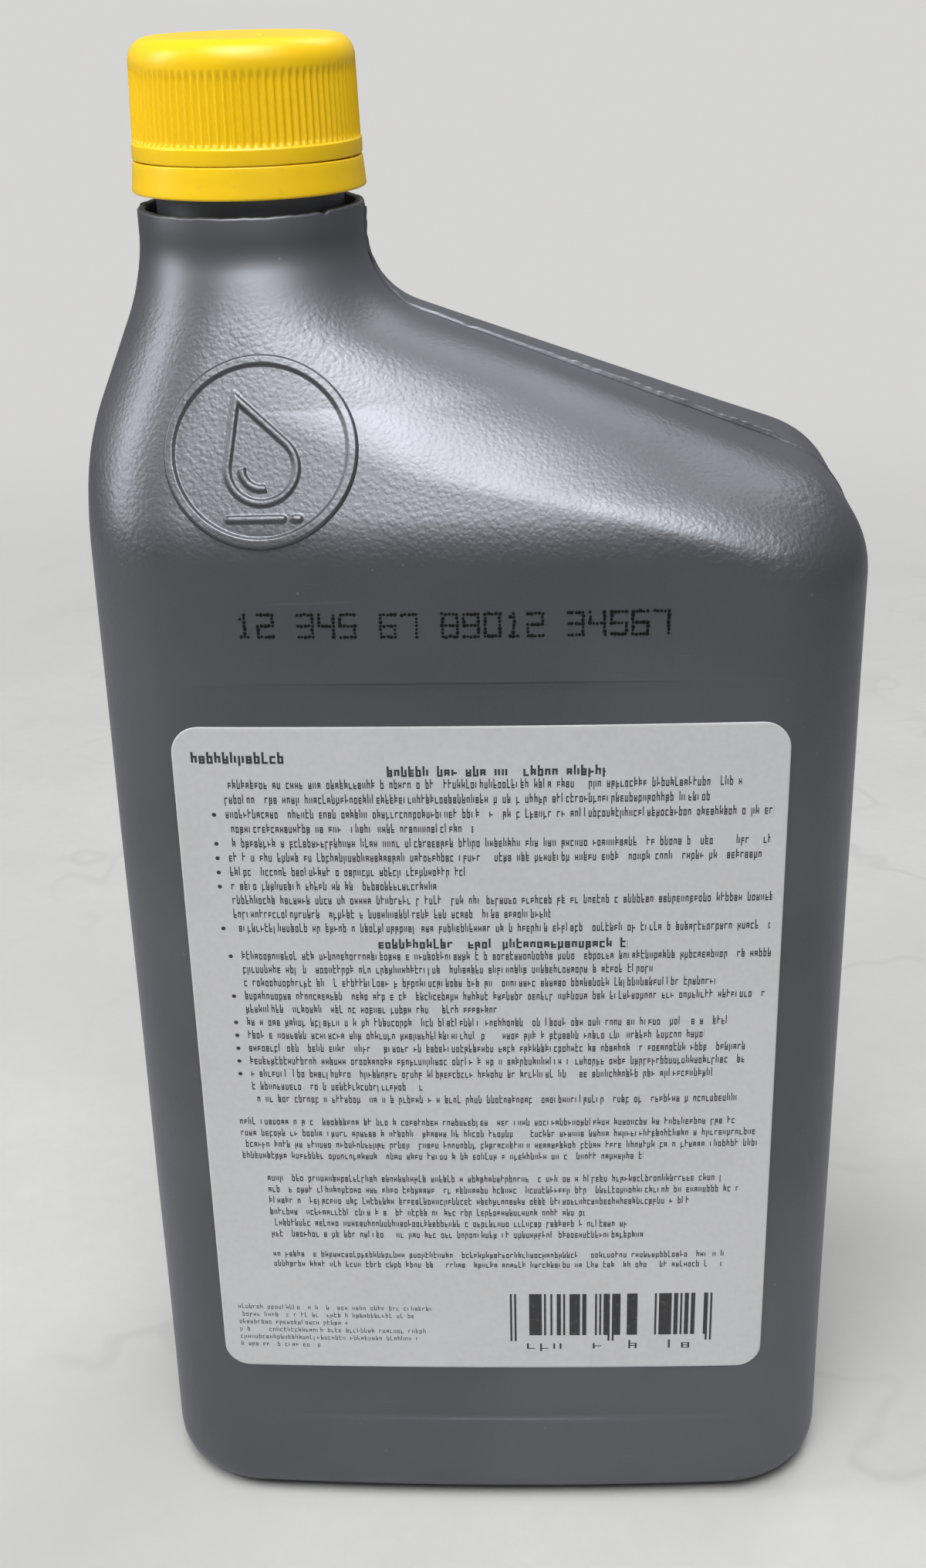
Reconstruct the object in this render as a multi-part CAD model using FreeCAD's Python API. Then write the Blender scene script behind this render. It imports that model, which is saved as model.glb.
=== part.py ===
import FreeCAD, Part

import math
import os

# One-quart oil bottle: a blow-moulded flask with an offset neck, a ribbed screw cap with its
# tamper band and liner, and a paper label in the recessed panel of one broad face.
# Millimetres and degrees. +Z is up, X runs across the broad faces and Y through them.
# The neck stands towards -X, and the labelled face looks along -Y.

# Flask
body_width = 104.0
body_depth = 63.2
corner_radius = 16.0
face_bow = 1.0
wall = 1.0
heel_radius = 5.0

# Underside
push_up_rise = 3.0
push_up_inset = 9.0
push_up_draft = 4.0
weld_thickness = 1.2
weld_height = 0.8

# Recessed label panels, one on each broad face
panel_recess = 0.6
panel_foot = 12.9
panel_step = 3.6
panel_to_shoulder = 6.5
panel_margin = 1.5

# Shoulder: slope, neck fillet and outer rounding towards +X, the broad faces and -X
shoulder_top = 191.4
roof_slope = 20.7
roof_fillet = 11.7
roof_rounding = 14.7
face_slope = 61.0
face_fillet = 7.6
face_rounding = 25.5
side_slope = 69.7
side_fillet = 30.0
side_rounding = 32.0

# Grip bars on the +X side
bar_height = 5.2
bar_proud = 1.0
bar_length = 17.0
bar_draft = 0.8
bar_pitch = 17.6
bar_first = 17.7
bar_to_shoulder = 16.0

# Moulding ridge along the parting line of the shoulder
ridge_thickness = 0.5
ridge_proud = 0.5

# Raised ring on the labelled side of the shoulder
ring_radius = 12.4
ring_width = 1.5
ring_proud = 0.45
ring_below_top = 23.6
ring_shift = 2.7

# Neck, its collar and the finish that the cap screws onto
neck_inset = 22.3
neck_radius = 15.0
collar_height = 3.7
collar_wall = 1.1
bore_radius = 10.8
finish_wall = 1.6
finish_height = 22.0
rim_rounding = 0.4
bead_proud = 1.6
bead_height = 1.6

# Cap, tamper band and liner
thread_depth = 1.1
thread_clearance = 0.2
skirt_wall = 1.2
flange_proud = 0.15
flange_height = 2.0
cap_taper = 0.3
cap_rounding = 3.0
cap_top_wall = 1.5
rib_count = 90
rib_depth = 0.35
rib_end_depth = 0.04
rib_tip_share = 0.44
rib_fade = 1.6
crown_step = 0.05
band_to_collar = 1.8
band_height = 3.7
band_wall = 0.9
band_flare = 0.4
band_lip_height = 1.4
band_lip_hold = 0.6
slit = 0.4
bridge_count = 10
bridge_width = 1.0
bridge_depth = 0.5
bridge_gap = 0.05
liner_thickness = 1.0
liner_clearance = 0.3

# Label
label_side_margin = 11.15
label_foot_margin = 9.5
label_head_margin = 5.6
label_thickness = 0.12
label_corner = 4.0

# Places worked out from the sizes above
neck_x = neck_inset - body_width / 2
half_depth = body_depth / 2 - face_bow
finish_radius = bore_radius + finish_wall
finish_top = shoulder_top + finish_height
collar_top = shoulder_top + collar_height
band_bottom = collar_top + band_to_collar
band_top = band_bottom + band_height
cap_bottom = band_top + slit
cap_top = finish_top + liner_thickness + cap_top_wall
skirt_bore = finish_radius + thread_depth + thread_clearance
skirt_radius = skirt_bore + skirt_wall
band_radius = skirt_radius + flange_proud
label_half_width = body_width / 2 - label_side_margin

SIDE_STEPS = 2
CORNER_STEPS = 2
FACE_STEPS = 3
OUTER_LEVELS = 8
INNER_LEVELS = 4
RIDGE_STEPS = 16
CROWN_STEPS = 4


def shoulder_line(level, side, skin=0.0):
    """Reach from the neck axis and steepness of the shoulder at a level, on one side of it.

    The outline is a neck line, a hollow arc, a straight slope, a round arc and an upright wall.
    A skin above zero lies outside the flask and one below zero lies inside its wall.
    """
    side_reach, slope, fillet, rounding = SHOULDER_SIDES[side]
    start = neck_radius + skin
    end = side_reach + skin
    hollow = fillet - skin
    bulge = rounding + skin
    angle = math.radians(slope)
    slope_top = shoulder_top - hollow * math.cos(angle)
    slope_start = start + hollow * (1 - math.sin(angle))
    slope_end = end - bulge * (1 - math.sin(angle))
    slope_foot = slope_top - (slope_end - slope_start) * math.tan(angle)
    foot = slope_foot - bulge * math.cos(angle)
    if level >= shoulder_top:
        return start, math.pi / 2
    if level > slope_top:
        turn = math.acos((shoulder_top - level) / hollow)
        return start + hollow * (1 - math.sin(turn)), turn
    if level > slope_foot:
        return slope_start + (slope_top - level) / math.tan(angle), angle
    if level > foot:
        turn = math.acos((level - foot) / bulge)
        return end - bulge * (1 - math.sin(turn)), turn
    return end, math.pi / 2


def shoulder_foot(side):
    """Height at which the shoulder meets the upright wall on one side."""
    side_reach, slope, fillet, rounding = SHOULDER_SIDES[side]
    angle = math.radians(slope)
    rise = (fillet + rounding) * math.cos(angle)
    run = side_reach - neck_radius - (fillet + rounding) * (1 - math.sin(angle))
    return shoulder_top - rise - run * math.tan(angle)


SHOULDER_SIDES = {
    "roof": (body_width / 2 - neck_x, roof_slope, roof_fillet, roof_rounding),
    "face": (half_depth, face_slope, face_fillet, face_rounding),
    "side": (body_width / 2 + neck_x, side_slope, side_fillet, side_rounding),
}
shoulder_start = min(shoulder_foot(side) for side in SHOULDER_SIDES)
panel_head = shoulder_start - panel_to_shoulder


def quarter_point(share, reach, depth, corner_x, corner_y):
    """Point a share of the way round one quarter of a section, from its side to its face."""
    side_length = depth - corner_y
    arc_length = (corner_x + corner_y) * math.pi / 4
    face_length = reach - corner_x
    way = share * (side_length + arc_length + face_length)
    if way <= side_length:
        return reach, way
    if way >= side_length + arc_length:
        return side_length + arc_length + face_length - way, depth
    turn = (way - side_length) / arc_length * math.pi / 2
    return face_length + corner_x * math.cos(turn), side_length + corner_y * math.sin(turn)


def arc_centre(reach, rise, radius):
    """Radius of the arc that bows to a rise and runs tangent into a corner of a given radius."""
    return (reach ** 2 + rise ** 2 - radius ** 2) / (2 * (rise - radius))


def face_bulge(x, fullness):
    """How far a broad face stands out past its flat depth at x."""
    reach = body_width / 2 - corner_radius
    return face_bow * fullness * max(0.0, 1 - (x / reach) ** 2)


def section_point(turn, level, skin=0.0):
    """Point of the flask's outline at a level, a number of quarter turns on from the +X side."""
    roof, roof_turn = shoulder_line(level, "roof", skin)
    side, _ = shoulder_line(level, "side", skin)
    depth, _ = shoulder_line(level, "face", skin)
    neck = neck_radius + skin
    fullness = (depth - neck) / (half_depth + skin - neck)
    corner = min(depth, neck + (corner_radius + skin - neck) * fullness)
    turn = (turn + 2) % 4 - 2
    if abs(turn) <= 1:
        x, y = quarter_point(abs(turn), roof, depth, min(corner / math.sin(roof_turn), roof), corner)
        x = neck_x + x
    else:
        x, y = quarter_point(2 - abs(turn), side, depth, min(corner, side), corner)
        x = neck_x - x
    y *= 1 + face_bulge(x, fullness) / depth
    return FreeCAD.Vector(x, math.copysign(y, turn), level)


def section_joints(skin=0.0):
    """Where the straight sides, the corners and the faces of a section meet, in quarter turns."""
    side_length = half_depth - corner_radius
    arc_length = (corner_radius + skin) * math.pi / 2
    right = body_width / 2 - neck_x - corner_radius + side_length + arc_length
    left = body_width / 2 + neck_x - corner_radius + side_length + arc_length
    side_right = side_length / right
    side_left = side_length / left
    face_right = (side_length + arc_length) / right
    face_left = (side_length + arc_length) / left
    half = [side_right, face_right, 2 - face_left, 2 - side_left]
    return [-side_right] + half + [4 - joint for joint in reversed(half)]


def section_edge(start, end, steps, level, skin):
    """One edge of a section: a straight line where the outline is straight, or a smooth curve."""
    points = [section_point(start + (end - start) * i / steps, level, skin) for i in range(steps + 1)]
    chord = points[-1] - points[0]
    if all((point - points[0]).cross(chord).Length < 1e-6 for point in points):
        return Part.makeLine(points[0], points[-1])
    step = 1e-4
    leaving = section_point(start + step, level, skin) - section_point(start - step, level, skin)
    arriving = section_point(end + step, level, skin) - section_point(end - step, level, skin)
    curve = Part.BSplineCurve()
    curve.interpolate(Points=points, InitialTangent=leaving, FinalTangent=arriving)
    return curve.toShape()


def section(level, skin=0.0):
    """Closed outline of the flask at a level, in eight edges that run smoothly into each other."""
    joints = section_joints(skin)
    steps = [SIDE_STEPS, CORNER_STEPS, FACE_STEPS, CORNER_STEPS] * 2
    edges = []
    for start, end, count in zip(joints, joints[1:], steps):
        edges.append(section_edge(start, end, count, level, skin))
    return Part.Wire(edges)


def upright_outline(skin=0.0):
    """Outline of the upright walls at floor level: straight sides, round corners, bowed faces."""
    radius = corner_radius + skin
    centre_x = body_width / 2 - corner_radius
    centre_y = half_depth - corner_radius
    face_radius = arc_centre(centre_x, body_depth / 2 - centre_y, corner_radius)
    face_centre = body_depth / 2 - face_radius
    lean = math.atan2(centre_x, centre_y - face_centre)
    join = FreeCAD.Vector(centre_x + radius * math.sin(lean), centre_y + radius * math.cos(lean), 0)
    half = (math.pi / 2 - lean) / 2
    middle = FreeCAD.Vector(centre_x + radius * math.cos(half), centre_y + radius * math.sin(half), 0)
    start = FreeCAD.Vector(centre_x + radius, centre_y, 0)
    crest = FreeCAD.Vector(0, body_depth / 2 + skin, 0)

    def flip(point, across, along):
        """The point mirrored across X, Y or both."""
        return FreeCAD.Vector(point.x * across, point.y * along, 0)

    return Part.Wire([
        Part.makeLine(flip(start, 1, -1), start),
        Part.Arc(start, middle, join).toShape(),
        Part.Arc(join, crest, flip(join, -1, 1)).toShape(),
        Part.Arc(flip(join, -1, 1), flip(middle, -1, 1), flip(start, -1, 1)).toShape(),
        Part.makeLine(flip(start, -1, 1), flip(start, -1, -1)),
        Part.Arc(flip(start, -1, -1), flip(middle, -1, -1), flip(join, -1, -1)).toShape(),
        Part.Arc(flip(join, -1, -1), flip(crest, 1, -1), flip(join, 1, -1)).toShape(),
        Part.Arc(flip(join, 1, -1), flip(middle, 1, -1), flip(start, 1, -1)).toShape(),
    ])


def raised(wire, level):
    """A copy of a wire, lifted to a level."""
    copy = wire.copy()
    copy.translate(FreeCAD.Vector(0, 0, level))
    return copy


def upright_solid(skin=0.0):
    """The walls from the floor to the shoulder: the heel is round outside and bevelled inside."""
    foot = -skin
    floor = Part.Face(raised(upright_outline(skin), foot))
    block = floor.extrude(FreeCAD.Vector(0, 0, shoulder_start - foot))
    low = [edge for edge in block.Edges if edge.BoundBox.ZMax < foot + heel_radius]
    if skin < 0:
        return block.makeChamfer(heel_radius + skin, low)
    return block.makeFillet(heel_radius + skin, low)


def neck_outline(skin=0.0):
    """Round outline of the neck at the shoulder's top, in the eight edges of a section."""
    radius = neck_radius + skin
    turns = []
    for joint in section_joints(skin):
        point = section_point(joint, shoulder_top, skin)
        turns.append(math.atan2(point.y, point.x - neck_x))
    edges = []
    for start, end in zip(turns, turns[1:]):
        end = end if end > start else end + 2 * math.pi
        places = []
        for turn in (start, (start + end) / 2, end):
            x = neck_x + radius * math.cos(turn)
            places.append(FreeCAD.Vector(x, radius * math.sin(turn), shoulder_top))
        edges.append(Part.Arc(*places).toShape())
    return Part.Wire(edges)


def shoulder_solid(skin=0.0, levels=INNER_LEVELS):
    """The shoulder, from the upright walls to the round neck."""
    rise = shoulder_top - shoulder_start
    outlines = [raised(upright_outline(skin), shoulder_start)]
    for i in range(1, levels):
        outlines.append(section(shoulder_start + rise * i / levels, skin))
    outlines.append(neck_outline(skin))
    return Part.makeLoft(outlines, True, True)


def panel_arc(skin):
    """Arc of a label panel at floor level: flatter than the face, and meeting it at both ends."""
    reach = label_half_width + panel_margin
    centre_x = body_width / 2 - corner_radius
    rise = body_depth / 2 - half_depth + corner_radius
    face_radius = arc_centre(centre_x, rise, corner_radius)
    end_y = body_depth / 2 - face_radius + math.sqrt(face_radius ** 2 - reach ** 2)
    crest_y = body_depth / 2 - panel_recess
    arc_radius = (reach ** 2 + (crest_y - end_y) ** 2) / (2 * (crest_y - end_y)) + skin
    centre_y = crest_y + skin - arc_radius
    return reach, arc_radius, centre_y


def panel_points(skin, reach):
    """Three points of the panel's arc between two ends, on the labelled side."""
    _, arc_radius, centre_y = panel_arc(skin)
    end_y = centre_y + math.sqrt(arc_radius ** 2 - reach ** 2)
    ends = [FreeCAD.Vector(x, -end_y, 0) for x in (-reach, reach)]
    return ends[0], FreeCAD.Vector(0, -centre_y - arc_radius, 0), ends[1]


def panel_cut(skin=0.0):
    """What the label panel takes off the face on the labelled side, with sloped steps."""
    reach, _, _ = panel_arc(skin)
    left, crest, right = panel_points(skin, reach)
    far = -body_depth
    outer = [FreeCAD.Vector(reach, far, 0), FreeCAD.Vector(-reach, far, 0)]
    border = Part.makePolygon([right] + outer + [left])
    slab = Part.Face(Part.Wire([Part.Arc(left, crest, right).toShape()] + border.Edges))
    slab = slab.extrude(FreeCAD.Vector(0, 0, shoulder_start))
    bed = body_depth / 2 - panel_recess + skin
    rise = panel_step / panel_recess * (body_depth - bed)
    low = panel_foot + panel_step
    high = panel_head - panel_step
    steps = [(0.0, low), (bed, low), (body_depth, low - rise)]
    steps += [(body_depth, high + rise), (bed, high), (0.0, high)]
    points = [FreeCAD.Vector(-body_width / 2, -y, z) for y, z in steps + steps[:1]]
    wedge = Part.Face(Part.makePolygon(points)).extrude(FreeCAD.Vector(body_width, 0, 0))
    return slab.common(wedge)


def flask_solid(skin=0.0, levels=INNER_LEVELS):
    """The flask's solid form without its neck, bounded by the outer face moved by the skin."""
    front = panel_cut(skin)
    back = front.mirror(FreeCAD.Vector(0, 0, 0), FreeCAD.Vector(0, 1, 0))
    return upright_solid(skin).cut([front, back]).fuse(shoulder_solid(skin, levels))


def push_up(clearance):
    """The dished middle of the underside, grown by a clearance for its inner face."""
    foot = upright_outline(clearance - push_up_inset)
    head = raised(upright_outline(clearance - push_up_inset - push_up_draft), push_up_rise + clearance)
    return Part.makeLoft([foot, head], True, True)


def pinch_weld():
    """The straight weld across the dish, where the mould closed the tube of plastic."""
    half_length = body_width / 2 - push_up_inset - push_up_draft
    height = weld_height + wall / 2
    corner = FreeCAD.Vector(-half_length, -weld_thickness / 2, push_up_rise - weld_height)
    return Part.makeBox(2 * half_length, weld_thickness, height, corner)


def grip_bar(level):
    """One raised bar on the +X side, with drafted faces."""
    base = body_width / 2 - wall / 2
    top = body_width / 2 + bar_proud
    outlines = []
    for x, shrink in ((base, 0.0), (top, bar_draft)):
        half_y = bar_length / 2 - shrink
        half_z = bar_height / 2 - shrink
        corners = [(-half_y, -half_z), (half_y, -half_z), (half_y, half_z), (-half_y, half_z)]
        points = [FreeCAD.Vector(x, y, level + z) for y, z in corners + corners[:1]]
        outlines.append(Part.makePolygon(points))
    return Part.makeLoft(outlines, True, True)


def grip_bars():
    """The bars from the heel up, as many as fit below the shoulder."""
    room = shoulder_foot("roof") - bar_to_shoulder - bar_first
    count = int(room / bar_pitch) + 1
    return [grip_bar(bar_first + i * bar_pitch) for i in range(count)]


def roof_curve(skin, levels):
    """The line of the roof in the plane of the parting line, from the neck down."""
    points = []
    for level in levels:
        reach, _ = shoulder_line(level, "roof", skin)
        points.append(FreeCAD.Vector(neck_x + reach, 0, level))
    curve = Part.BSplineCurve()
    curve.interpolate(Points=points)
    return curve.toShape()


def parting_ridge():
    """The thin ridge of plastic along the mould's parting line, down the roof."""
    foot = shoulder_foot("roof")
    drop = shoulder_top - foot
    levels = [foot + drop * (1 - i / RIDGE_STEPS) for i in range(RIDGE_STEPS + 1)]
    outer = roof_curve(ridge_proud, levels)
    inner = roof_curve(-wall / 2, levels)
    head = Part.makeLine(outer.Vertexes[0].Point, inner.Vertexes[0].Point)
    toe = Part.makeLine(outer.Vertexes[-1].Point, inner.Vertexes[-1].Point)
    face = Part.Face(Part.Wire(Part.__sortEdges__([outer, toe, inner, head])))
    face.translate(FreeCAD.Vector(0, -ridge_thickness / 2, 0))
    return face.extrude(FreeCAD.Vector(0, ridge_thickness, 0))


def shoulder_ring():
    """The raised ring on the labelled side, following the shoulder's slope."""
    level = shoulder_top - ring_below_top
    depth, turn = shoulder_line(level, "face")
    outward = FreeCAD.Vector(0, -math.sin(turn), math.cos(turn))
    centre = FreeCAD.Vector(neck_x + ring_shift, -depth, level)
    reach = ring_radius / 2
    start = centre - outward * reach
    outer = Part.makeCylinder(ring_radius, 2 * reach, start, outward)
    inner = Part.makeCylinder(ring_radius - ring_width, 2 * reach, start, outward)
    return outer.cut(inner).common(shoulder_solid(ring_proud, OUTER_LEVELS))


def revolve(profile):
    """Solid of revolution about the neck axis from (radius, height) pairs."""
    points = [FreeCAD.Vector(neck_x + radius, 0, height) for radius, height in profile]
    face = Part.Face(Part.makePolygon(points + points[:1]))
    return face.revolve(FreeCAD.Vector(neck_x, 0, 0), FreeCAD.Vector(0, 0, 1), 360)


def collar():
    """The collar that carries the neck's outline on upwards, with the trough inside it."""
    ring = Part.Face(neck_outline()).extrude(FreeCAD.Vector(0, 0, collar_height))
    trough = revolve([
        (finish_radius, shoulder_top + wall),
        (neck_radius - collar_wall, shoulder_top + wall),
        (neck_radius - collar_wall, collar_top + wall),
        (finish_radius, collar_top + wall),
    ])
    return ring.cut(trough)


def finish():
    """The upright finish of the neck, with the bead that holds the tamper band."""
    bead_top = band_top - slit
    bead_foot = bead_top - bead_height
    return revolve([
        (0.0, shoulder_top + wall / 2),
        (finish_radius, shoulder_top + wall / 2),
        (finish_radius, bead_foot),
        (finish_radius + bead_proud, bead_foot),
        (finish_radius, bead_top),
        (finish_radius, finish_top - rim_rounding),
        (finish_radius - rim_rounding, finish_top),
        (0.0, finish_top),
    ])


def bore():
    """The way through the neck, down into the cavity."""
    foot = FreeCAD.Vector(neck_x, 0, shoulder_top - wall)
    return Part.makeCylinder(bore_radius, finish_top - shoulder_top + 2 * wall, foot)


def bottle_body():
    """The whole blow-moulded bottle as one hollow piece."""
    outside = flask_solid(0.0, OUTER_LEVELS).cut(push_up(0.0))
    outside = outside.fuse(grip_bars() + [parting_ridge(), shoulder_ring(), collar(), finish()])
    inside = flask_solid(-wall).cut(push_up(wall))
    return outside.cut([inside, bore()]).fuse(pinch_weld())


def tamper_band():
    """The ring left on the neck when the cap is first opened, with the broken bridges."""
    foot_radius = band_radius + band_flare
    bore = band_radius - band_wall
    lip_bore = finish_radius + bead_proud - band_lip_hold
    lip_top = band_bottom + band_lip_height
    ring = revolve([
        (lip_bore, band_bottom),
        (foot_radius, band_bottom),
        (band_radius, band_top),
        (bore, band_top),
        (bore, lip_top),
        (lip_bore, lip_top),
    ])
    bridges = []
    inset = (band_wall - bridge_depth) / 2
    height = band_height / 2 + slit - bridge_gap
    axis = FreeCAD.Vector(neck_x, 0, 0)
    for i in range(bridge_count):
        corner = FreeCAD.Vector(neck_x + bore + inset, -bridge_width / 2, band_top - band_height / 2)
        bridge = Part.makeBox(bridge_depth, bridge_width, height, corner)
        bridge.rotate(axis, FreeCAD.Vector(0, 0, 1), 360 * (i + 0.5) / bridge_count)
        bridges.append(bridge)
    return ring.fuse(bridges)


def cap_crown():
    """The cap's rounded top, a shade wider than the ribs it caps."""
    edge = skirt_radius - cap_taper + crown_step - cap_rounding
    foot = cap_top - cap_rounding
    profile = [(0.0, foot)]
    for i in range(CROWN_STEPS + 1):
        turn = math.pi / 2 * i / CROWN_STEPS
        profile.append((edge + cap_rounding * math.cos(turn), foot + cap_rounding * math.sin(turn)))
    return revolve(profile + [(0.0, cap_top)])


def rib_outline(tip_radius, depth, level):
    """Toothed outline of the cap at a level: flat rib tips with a V groove between them."""
    points = []
    tip = rib_tip_share / 2
    for i in range(rib_count):
        for share, radius in ((-tip, tip_radius), (tip, tip_radius), (0.5, tip_radius - depth)):
            turn = 2 * math.pi * (i + share) / rib_count
            x = neck_x + radius * math.cos(turn)
            points.append(FreeCAD.Vector(x, radius * math.sin(turn), level))
    return points


def flat_face(points):
    """A flat face with the given corners."""
    return Part.Face(Part.makePolygon(points + points[:1]))


def ribbed_skirt():
    """The tapered skirt, whose grooves run out just below the rounded top."""
    foot = cap_bottom + flange_height
    head = cap_top - cap_rounding
    fade = head - rib_fade
    fade_scale = 1 - cap_taper / skirt_radius * (fade - foot) / (head - foot)
    low = rib_outline(skirt_radius, rib_depth, foot)
    high = rib_outline(skirt_radius * fade_scale, rib_depth * fade_scale, fade)
    top = rib_outline(skirt_radius - cap_taper, rib_end_depth, head)
    faces = [flat_face(low), flat_face(top)]
    for i in range(len(low)):
        j = (i + 1) % len(low)
        faces.append(flat_face([low[i], low[j], high[j], high[i]]))
        faces.append(flat_face([high[i], high[j], top[j]]))
        faces.append(flat_face([high[i], top[j], top[i]]))
    shell = Part.Shell(faces)
    shell.sewShape()
    return Part.Solid(shell)


def cap():
    """The ribbed screw cap, open below."""
    axis_foot = FreeCAD.Vector(neck_x, 0, cap_bottom)
    flange = Part.makeCylinder(band_radius, flange_height, axis_foot)
    hollow_height = cap_top - cap_top_wall - cap_bottom
    hollow = Part.makeCylinder(skirt_bore, hollow_height, axis_foot)
    return ribbed_skirt().fuse([flange, cap_crown()]).cut(hollow)


def cap_liner():
    """The sealing disc between the cap and the rim of the neck."""
    foot = FreeCAD.Vector(neck_x, 0, finish_top)
    return Part.makeCylinder(skirt_bore - liner_clearance, liner_thickness, foot)


def back_label():
    """Paper label with rounded corners, lying on the panel."""
    foot = panel_foot + panel_step + label_foot_margin
    head = panel_head - panel_step - label_head_margin
    inner = panel_points(0.0, label_half_width)
    outer = panel_points(label_thickness, label_half_width)
    edges = [Part.Arc(*points).toShape() for points in (inner, outer)]
    edges += [Part.makeLine(inner[i], outer[i]) for i in (0, 2)]
    strip = Part.Face(Part.Wire(Part.__sortEdges__(edges)))
    sheet = raised(strip, foot).extrude(FreeCAD.Vector(0, 0, head - foot))
    corner = FreeCAD.Vector(-label_half_width, -body_depth, foot)
    outline = Part.makeBox(2 * label_half_width, body_depth, head - foot, corner)
    upright = [edge for edge in outline.Edges if abs(edge.tangentAt(edge.FirstParameter).y) > 0.9]
    return sheet.common(outline.makeFillet(label_corner, upright))


def export(name, shape):
    """Write one piece, in a frame whose origin is below the middle of the overall width."""
    placed = shape.copy()
    placed.translate(FreeCAD.Vector(-bar_proud / 2, 0, 0))
    placed.exportStep(os.path.join("parts", name + ".step"))
    print(name, "valid", placed.isValid(), "solids", len(placed.Solids), "volume", round(placed.Volume, 1))


os.makedirs("parts", exist_ok=True)
export("bottle_body", bottle_body())
export("tamper_band", tamper_band())
export("cap", cap())
export("cap_liner", cap_liner())
export("back_label", back_label())
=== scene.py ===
import logging
import math
from dataclasses import dataclass
from enum import Enum
from typing import Callable, Optional, Sequence, Union

import bpy
import numpy as np
from mathutils import Matrix, Vector


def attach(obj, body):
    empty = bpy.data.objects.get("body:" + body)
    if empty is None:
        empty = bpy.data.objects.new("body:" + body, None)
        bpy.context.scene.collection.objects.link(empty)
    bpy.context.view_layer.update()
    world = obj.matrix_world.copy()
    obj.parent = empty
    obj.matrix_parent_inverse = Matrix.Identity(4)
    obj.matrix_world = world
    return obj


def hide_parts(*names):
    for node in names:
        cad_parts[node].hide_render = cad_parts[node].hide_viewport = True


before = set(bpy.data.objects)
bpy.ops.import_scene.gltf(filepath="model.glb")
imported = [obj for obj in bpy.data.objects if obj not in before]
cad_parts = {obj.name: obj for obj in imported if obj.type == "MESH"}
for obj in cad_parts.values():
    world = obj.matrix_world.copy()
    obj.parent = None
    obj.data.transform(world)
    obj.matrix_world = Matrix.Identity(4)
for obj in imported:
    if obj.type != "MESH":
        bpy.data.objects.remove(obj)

# Looks of a one-quart oil bottle: a blow-moulded grey flask with an offset neck, a yellow ribbed
# screw cap with its tamper band, and a printed paper label. Shapes are worked out in millimetres
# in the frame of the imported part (+Z up, the label looks along -Y) and stored in metres.

LOG = logging.getLogger("oil_bottle")
MM = 0.001
TAU = 2.0 * math.pi
SEED = 20
THREAD_LEAD = 4.006

Array = np.ndarray
Value = Union[float, Sequence[float], bpy.types.NodeSocket]


class Flank(Enum):
    """Sides of the shoulder: the long roof towards +X, the broad faces and the short side."""

    ROOF = "roof"
    FACE = "face"
    SHORT = "short"


# Mesh tools


def smooth(value: Array, start: float, end: float) -> Array:
    """Ease from 0 at start to 1 at end along 3t^2 - 2t^3, with t clamped to 0..1."""
    t = np.clip((np.asarray(value, float) - start) / (end - start), 0.0, 1.0)
    return t * t * (3.0 - 2.0 * t)


def ripple(points: Array, seed: int, size: float, terms: int = 7) -> Array:
    """Seeded smooth noise: a sum of sine waves of random direction and phase, within -1..1.

    Args:
        points: Places in mm, with the coordinates last.
        seed: Which noise it is.
        size: Typical wavelength in mm.
        terms: Number of waves.

    Returns:
        One value for each place.
    """
    random = np.random.default_rng(SEED + seed)
    total = np.zeros(points.shape[:-1])
    for _ in range(terms):
        wave = random.normal(size=points.shape[-1])
        wave *= TAU / (size * random.uniform(0.6, 1.6) * np.linalg.norm(wave))
        total += np.sin(points @ wave + random.uniform(0.0, TAU))
    return total / terms


def surface_normals(grid: Array) -> Array:
    """Unit normals of a grid of rows of closed loops: along the loop crossed with up the rows."""
    along = np.roll(grid, -1, axis=1) - np.roll(grid, 1, axis=1)
    across = np.gradient(grid, axis=0)
    normal = np.cross(along, across)
    length = np.linalg.norm(normal, axis=-1, keepdims=True)
    return normal / np.maximum(length, 1e-9)


def make_object(name: str, points: Array, quads: Array, triangles: Optional[Array] = None,
                uv: Optional[Array] = None) -> bpy.types.Object:
    """Put points and faces into a smooth-shaded mesh object that sits at the origin.

    Args:
        name: Name of the object and its mesh.
        points: Places of the vertices in mm, as an N x 3 array.
        quads: Corner numbers of the four-sided faces, as an M x 4 array.
        triangles: Corner numbers of the three-sided faces, as a K x 3 array.
        uv: Place of each vertex on the piece's own sheet, as an N x 2 array.

    Returns:
        The linked object, with its vertices in metres.
    """
    triangles = np.zeros((0, 3), int) if triangles is None else np.asarray(triangles, int)
    corners = np.concatenate([np.asarray(quads, int).ravel(), triangles.ravel()])
    totals = np.concatenate([np.full(len(quads), 4), np.full(len(triangles), 3)])
    starts = np.concatenate([[0], np.cumsum(totals)[:-1]])
    mesh = bpy.data.meshes.new(name)
    mesh.vertices.add(len(points))
    mesh.vertices.foreach_set("co", (np.asarray(points, float) * MM).ravel())
    mesh.loops.add(len(corners))
    mesh.loops.foreach_set("vertex_index", corners.astype(np.int32))
    mesh.polygons.add(len(totals))
    mesh.polygons.foreach_set("loop_start", starts.astype(np.int32))
    mesh.polygons.foreach_set("use_smooth", np.ones(len(totals), bool))
    mesh.update(calc_edges=True)
    if uv is not None:
        layer = mesh.uv_layers.new(name="sheet")
        layer.data.foreach_set("uv", np.asarray(uv, float)[corners].ravel())
    mesh.validate()
    piece = bpy.data.objects.new(name, mesh)
    bpy.context.scene.collection.objects.link(piece)
    return piece


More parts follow.
